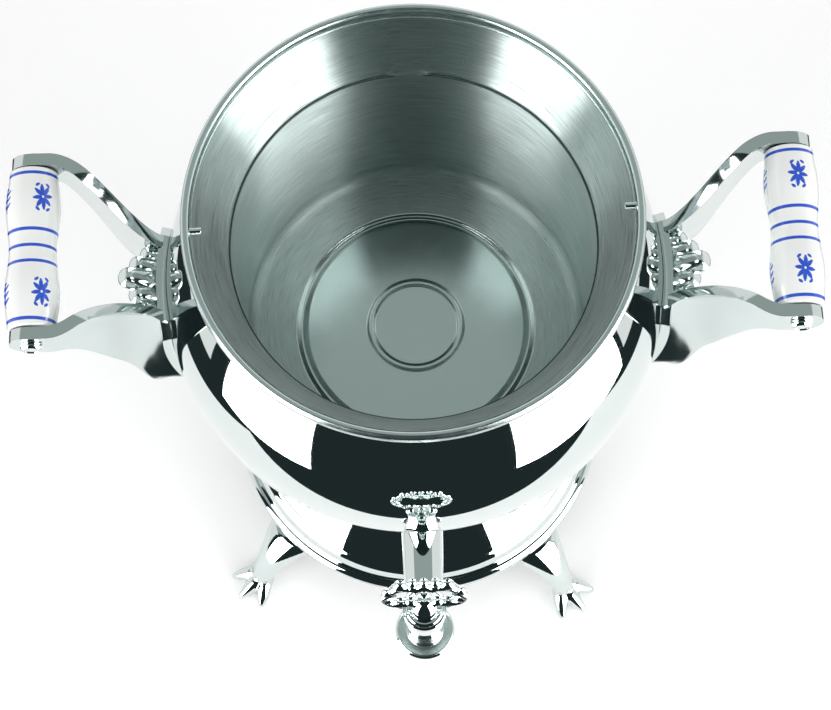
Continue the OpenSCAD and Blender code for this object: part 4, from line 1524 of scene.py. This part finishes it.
    def grip(self, side: Side) -> Piece:
        """Builds one porcelain grip with its painted bands and flowers.

        Args:
            side: Which handle it belongs to.

        Returns:
            The grip.
        """
        half, edge = self.grip_l / 2, self.grip_edge
        heights = [-half + edge + (self.grip_l - 2 * edge) * i / self.grip_rows for i in range(self.grip_rows + 1)]
        r_end = self.grip_at(half - edge)
        ends_low = arc((r_end - edge, -half + edge), edge, -90, 0, 6)[:-1]
        ends_high = arc((r_end - edge, half - edge), edge, 0, 90, 6)[1:]
        profile = ([(self.bore_r, -half)] + ends_low + [(self.grip_at(y), y) for y in heights] + ends_high
                   + [(self.bore_r, half)])
        place = (side.value * self.grip_x, 0, self.grip_z)
        piece = spun("grip_" + side.name.lower() + "_porcelain", profile, place, Way.BACK, 160)
        paint = piece.data.attributes.new(PORCELAIN.paint, "FLOAT", "POINT")
        cover = []
        start = self.motif_turn[0 if side is Side.LEFT else 1]
        for vertex in piece.data.vertices:
            x, y, z = (vertex.co.x / MM - place[0]) * side.value, vertex.co.y / MM, vertex.co.z / MM - place[2]
            here = max((self.band_w / 2 - abs(abs(y) - b)) / 0.3 + 0.5 for b in self.bands)
            round_at = math.degrees(math.atan2(z, x)) - start
            nearest = round(round_at / 90)
            u = math.radians(round_at - 90 * nearest) * self.grip_at(y)
            for row in (-1, 1):
                here = max(here, self.motif(u, y - row * self.motif_row, bool(nearest % 2)))
            cover.append(clamp(here))
        paint.data.foreach_set("value", cover)
        return piece

    def nut(self, side: Side, end: int) -> Piece:
        """Builds one round end nut with a sunk face.

        Args:
            side: Which handle it belongs to.
            end: -1 at the front, 1 at the back.

        Returns:
            The nut.
        """
        start = self.arm_tip_y + self.arm_t / 2
        rim = self.nut_r - 1.5
        top, sunk = self.nut_t - 0.05, self.nut_t - self.nut_sink
        profile = rounded([(0, 0), (self.nut_r, 0), (self.nut_r, 1.4), (self.nut_r - 0.9, top), (rim, top),
                           (rim - 0.4, sunk), (0, sunk)], 0.3)
        return spun("nut", [(0, 0)] + [p for p in profile if p[0] > 0.5] + [(0, sunk)],
                    (side.value * self.grip_x, end * start, self.grip_z), Way.BACK if end > 0 else Way.FRONT, 40)

    def washer(self, side: Side, end: int) -> Piece:
        """Builds one thin washer between grip and arm.

        Args:
            side: Which handle it belongs to.
            end: -1 at the front, 1 at the back.

        Returns:
            The washer.
        """
        low, high = self.grip_l / 2, self.grip_l / 2 + self.washer_t
        profile = [(self.washer_in, low), (self.washer_out, low), (self.washer_out, high), (self.washer_in, high)]
        return spun("washer", profile, (side.value * self.grip_x, 0, self.grip_z),
                    Way.BACK if end > 0 else Way.FRONT, 48, soft=0.2)

    def build(self) -> None:
        """Builds and dresses both handles."""
        right = self.bracket()
        left = smooth(copied(right, "bracket_left", mirror=True), 40)
        hand_in(right, DARKENED_BUFFED_CHROME, Body.STAND, "handle_bracket_right")
        hand_in(left, DARKENED_BUFFED_CHROME, Body.STAND, "handle_bracket_left")
        for side in Side:
            hand_in(self.grip(side), PORCELAIN, Body.STAND, "grip_" + side.name.lower())
        ends = [(side, end) for side in Side for end in (-1, 1)]
        nuts = joined("end_nuts", [self.nut(side, end) for side, end in ends])
        hand_in(smooth(nuts), CHROME, Body.STAND, "grip_nuts")
        washers = joined("end_washers", [self.washer(side, end) for side, end in ends])
        hand_in(smooth(washers), RUBBER, Body.STAND, "grip_washers")


@dataclass
class Control:
    """The heat control at the back of the base: boss, knob with a pointer, pilot lamp and lead gland."""

    axis_z: float = 82.0
    boss_in: float = 52.0
    boss_face: float = 84.0
    boss_r: float = 17.0
    boss_sink: float = 0.8
    shaft_r: float = 3.06
    knob_r: float = 13.0
    knob_t: float = 12.0
    flutes: int = 24
    flute_d: float = 0.45
    room: float = 0.3
    lamp_x: float = 27.0
    lamp_out: float = 74.0
    lamp_r: float = 4.5
    lamp_in: float = -16.0
    gland_y: float = 56.0
    gland_z: float = 36.0
    gland_r: float = 8.0
    gland_h: float = 13.0
    gland_hole_r: float = 3.5

    def boss(self) -> Piece:
        """Builds the boss with a raised rim.

        Returns:
            The piece.
        """
        depth = self.boss_face - self.boss_in
        sunk = depth - self.boss_sink
        profile = [(self.shaft_r, 0), (self.boss_r, 0), (self.boss_r, depth), (self.boss_r - 1.6, depth),
                   (self.boss_r - 2.2, sunk), (self.shaft_r, sunk)]
        return spun("control_boss", profile, (0, self.boss_in, self.axis_z), Way.BACK, 80, soft=0.4)

    def knob(self) -> Piece:
        """Builds the knob: a skirt, a grip with flutes and a pointer rib.

        Returns:
            The piece.
        """
        skirt = self.knob_t * 0.4
        waist = self.knob_r * 0.8
        start = self.boss_face + self.room
        profile = [(self.shaft_r, 0), (self.knob_r, 0), (self.knob_r, skirt * 0.6), (waist + 1, skirt),
                   (waist, skirt + 0.4), (waist, self.knob_t - 1), (waist * 0.9, self.knob_t - 0.05),
                   (0.5, self.knob_t - 0.5), (0.5, 9), (self.shaft_r, 8.5)]
        piece = spun("heat_knob", profile, (0, start, self.axis_z), Way.BACK, 144, soft=0.5)
        for vertex in piece.data.vertices:
            x, z = vertex.co.x / MM, vertex.co.z / MM - self.axis_z
            radius = math.hypot(x, z)
            depth = vertex.co.y / MM - self.boss_face - self.room
            if radius > waist * 0.86 and depth > skirt:
                flute = self.flute_d * (0.5 - 0.5 * math.cos(self.flutes * math.atan2(z, x)))
                vertex.co.x *= 1 - flute / radius
                vertex.co.z = (self.axis_z + z * (1 - flute / radius)) * MM
        rib = ball("rib", (0, start + self.knob_t - 0.9, self.axis_z + 5.2), 1, (0.9, 0.85, 5.0))
        return smooth(joined("heat_knob", [piece, rib]), 40)

    def lamp(self) -> Piece:
        """Builds the domed lens of the pilot lamp.

        Returns:
            The piece.
        """
        profile = [(0, self.lamp_in), (self.lamp_r, self.lamp_in), (self.lamp_r, 0)]
        return spun("pilot_lens", profile + arc((0, 0), self.lamp_r, 8, 90, 10),
                    (self.lamp_x, self.lamp_out, self.axis_z), Way.BACK, 48)

    def gland(self) -> Piece:
        """Builds the flanged lead gland under the base.

        Returns:
            The piece.
        """
        flange = self.gland_r + 3
        profile = [(self.gland_hole_r, 0), (flange - 2, 0), (flange, 1), (flange, 3), (self.gland_r, 3),
                   (self.gland_r, self.gland_h), (self.gland_hole_r + 0.5, self.gland_h)]
        return spun("lead_bush", profile, (0, self.gland_y, self.gland_z), steps=48, soft=0.6)

    def build(self) -> None:
        """Builds and dresses the control."""
        hand_in(self.boss(), PLASTIC, Body.STAND, "control_bezel")
        hand_in(self.knob(), PLASTIC, Body.CONTROL, "control_knob")
        hand_in(self.lamp(), LENS, Body.STAND, "pilot_lamp")
        hand_in(self.gland(), RUBBER, Body.STAND, "cord_gland")


@dataclass
class Inside:
    """Solids that keep their own shape and only take a finish: screws, heater, wiring and plug."""

    finishes: tuple[Finish, ...] = FINISHES

    def build(self) -> None:
        """Gives every solid the finish of its slot."""
        by_slot = {finish.slot: finish for finish in self.finishes}
        for part in frame["record"]["subparts"]:
            finish = by_slot[part["material_slot"]]
            finish.dress(frame["nodes"][part["node"]])
            LOG.info("%s: solid dressed in %s", part["node"], finish.label)


# Studio, in metres


@dataclass(frozen=True)
class SoftLight:
    """A large upright soft light: its direction, distance and size, its power and that of its twin."""

    label: str
    azimuth: float
    away: float
    low: float
    high: float
    width: float
    power: float
    mirrored: float

    def lamp(self, label: str, power: float, away: float) -> Piece:
        """Adds one lamp that faces the vessel.

        Args:
            label: Name of the lamp.
            power: Its power.
            away: Its distance from the vessel's axis.

        Returns:
            The lamp.
        """
        data = bpy.data.lights.new(label, "AREA")
        data.shape = "RECTANGLE"
        data.size = self.width
        data.size_y = self.high - self.low
        data.energy = power
        lamp = bpy.data.objects.new(label, data)
        bpy.context.scene.collection.objects.link(lamp)
        a = math.radians(self.azimuth)
        lamp.location = (math.sin(a) * away, -math.cos(a) * away, (self.low + self.high) / 2)
        lamp.rotation_euler = (math.radians(90), 0, a)
        return lamp

    def build(self) -> None:
        """Sets up the lamp that lights the scene and its brighter twin for the mirrors, a little nearer."""
        self.lamp(self.label, self.power, self.away + 0.02).visible_glossy = False
        self.lamp(self.label + "_mirrored", self.mirrored, self.away).visible_diffuse = False


@dataclass
class Studio:
    """White table, dark room seen only in the mirrors, two soft lights and the camera."""

    table_x: Point = (-0.36, 0.41)
    table_y: Point = (-0.23, 0.9)
    floor_half: float = 12.0
    floor_z: float = -1e-4
    lights: tuple[SoftLight, ...] = (
        SoftLight("soft_left", -54.5, 1.0, -0.47, 1.3, 0.65, 9.0, 31.0),
        SoftLight("soft_right", 55.0, 1.0, -0.47, 1.3, 0.85, 11.0, 41.0))
    room_half: float = 2.0
    room_low: float = -0.9
    room_high: float = 1.7
    ceiling: str = "#AAB4B2"
    dark: str = "#252F31"
    side_end: float = -0.3
    hood_end: float = -0.18
    fill: float = 0.7
    lift: float = 0.12
    camera_at: Place = (-1.1235, -413.532, 1426.252)
    pitch: float = 72.03
    yaw: float = -0.82
    roll: float = 1.64
    aside: float = 0.89
    focal: float = 2700.0
    frame_w: float = 831.0
    sensor: float = 36.0

    def panel(self, name: str, corners: Sequence[Place], finish: bpy.types.Material) -> Piece:
        """Stands up one flat panel.

        Args:
            name: Name of the panel.
            corners: Its four corners in turn.
            finish: Its material.

        Returns:
            The panel.
        """
        deselect()
        bpy.ops.mesh.primitive_plane_add(size=1)
        panel = bpy.context.object
        panel.name = name
        for vertex, k in zip(panel.data.vertices, (0, 1, 3, 2)):
            vertex.co = corners[k]
        panel.data.materials.append(finish)
        return panel

    def level(self, name: str, xs: Point, ys: Point, z: float, finish: bpy.types.Material) -> Piece:
        """Lays one level panel between two places along X and along Y at a height, and returns it."""
        corners = ((xs[0], ys[0], z), (xs[1], ys[0], z), (xs[1], ys[1], z), (xs[0], ys[1], z))
        return self.panel(name, corners, finish)

    def upright(self, name: str, start: Point, end: Point, finish: bpy.types.Material) -> Piece:
        """Stands one panel of the room's height between two places on the ground, and returns it."""
        low, high = self.room_low, self.room_high
        return self.panel(name, ((*start, low), (*end, low), (*end, high), (*start, high)), finish)

    def paper(self) -> bpy.types.Material:
        """Makes the white paper of the table, a little brighter to the eye than its light.

        Returns:
            The material.
        """
        made = blank("white_paper")
        tree = made.node_tree
        feed(tree, tree.nodes["Principled BSDF"], {
            "Base Color": linear("#FAFAFA"), "Roughness": 0.9, "Specular IOR Level": 0.1,
            "Emission Color": linear("#FFFFFF"), "Emission Strength": shown(tree, 0.0, self.lift)})
        return made

    def glow(self, label: str, colour: str) -> bpy.types.Material:
        """Makes an evenly lit cloth of one colour, for what the mirrors show of the room.

        Args:
            label: Name of the material.
            colour: Its colour as seen.

        Returns:
            The material.
        """
        made = blank(label)
        tree = made.node_tree
        light = add_node(tree, "ShaderNodeEmission", {"Color": linear(colour), "Strength": 1.0})
        feed(tree, tree.nodes["Material Output"], {"Surface": light.outputs[0]})
        return made

    def room(self) -> None:
        """Puts up the table and the dark room round it."""
        paper = self.paper()
        self.level("table", self.table_x, self.table_y, 0, paper)
        far = (-self.floor_half, self.floor_half)
        floor = self.level("floor", far, far, self.floor_z, paper)
        floor.visible_glossy = False
        floor.visible_transmission = False
        cloth = self.glow("dark_cloth", self.dark)
        grey = self.glow("grey_ceiling", self.ceiling)
        h, side, hood = self.room_half, self.side_end, self.hood_end
        for wall in (self.upright("room_front", (-h, -h), (h, -h), cloth),
                     self.upright("room_left", (-h, side), (-h, -h), cloth),
                     self.upright("room_right", (h, -h), (h, side), cloth),
                     self.level("room_floor", (-h, h), (-h, h), self.room_low, cloth),
                     self.level("room_hood", (-h, h), (-h, hood), self.room_high, cloth),
                     self.level("room_ceiling", (-h, h), (hood, h), self.room_high, grey)):
            wall.visible_camera = False
            wall.visible_diffuse = False
            wall.visible_shadow = False

    def sky(self) -> None:
        """Sets the white surroundings and the level of the fill light."""
        world = bpy.data.worlds.new("white_surroundings")
        bpy.context.scene.world = world
        world.use_nodes = True
        tree = world.node_tree
        feed(tree, tree.nodes["Background"], {
            "Color": linear("#FFFFFF"), "Strength": shown(tree, self.fill, 1.0)})

    def camera(self) -> None:
        """Stands the camera where the photograph was taken from."""
        pitch, yaw, roll = (math.radians(a) for a in (self.pitch, self.yaw, self.roll))
        ahead = Vector((math.sin(yaw) * math.cos(pitch), math.cos(yaw) * math.cos(pitch), -math.sin(pitch)))
        right = Vector((math.cos(yaw), -math.sin(yaw), 0))
        down = ahead.cross(right)
        across = math.cos(roll) * right + math.sin(roll) * down
        below = -math.sin(roll) * right + math.cos(roll) * down
        turn = Matrix.Rotation(math.radians(-self.aside), 3, "Z")
        axes = [turn @ v for v in (across, -below, -ahead)]
        data = bpy.data.cameras.new("camera")
        data.sensor_width = self.sensor
        data.sensor_fit = "HORIZONTAL"
        data.lens = self.sensor * self.focal / self.frame_w
        data.clip_start = 0.01
        data.clip_end = 50
        camera = bpy.data.objects.new("camera", data)
        bpy.context.scene.collection.objects.link(camera)
        matrix = Matrix([[axes[k][i] for k in range(3)] for i in range(3)]).to_4x4()
        matrix.translation = Vector(self.camera_at) * MM
        camera.matrix_world = matrix
        bpy.context.scene.camera = camera

    def build(self) -> None:
        """Sets up the whole studio."""
        bpy.context.scene.view_settings.view_transform = "Standard"
        self.room()
        self.sky()
        for light in self.lights:
            light.build()
        self.camera()


def main() -> None:
    """Builds every sub-assembly in order and then the studio."""
    logging.basicConfig(level=logging.INFO, format="%(message)s")
    Inside().build()
    for assembly in (Vessel(), Stand(), Tap(), Handles(), Control()):
        assembly.build()
        LOG.info("%s is done", type(assembly).__name__)
    Studio().build()


if __name__ == "__main__":
    main()
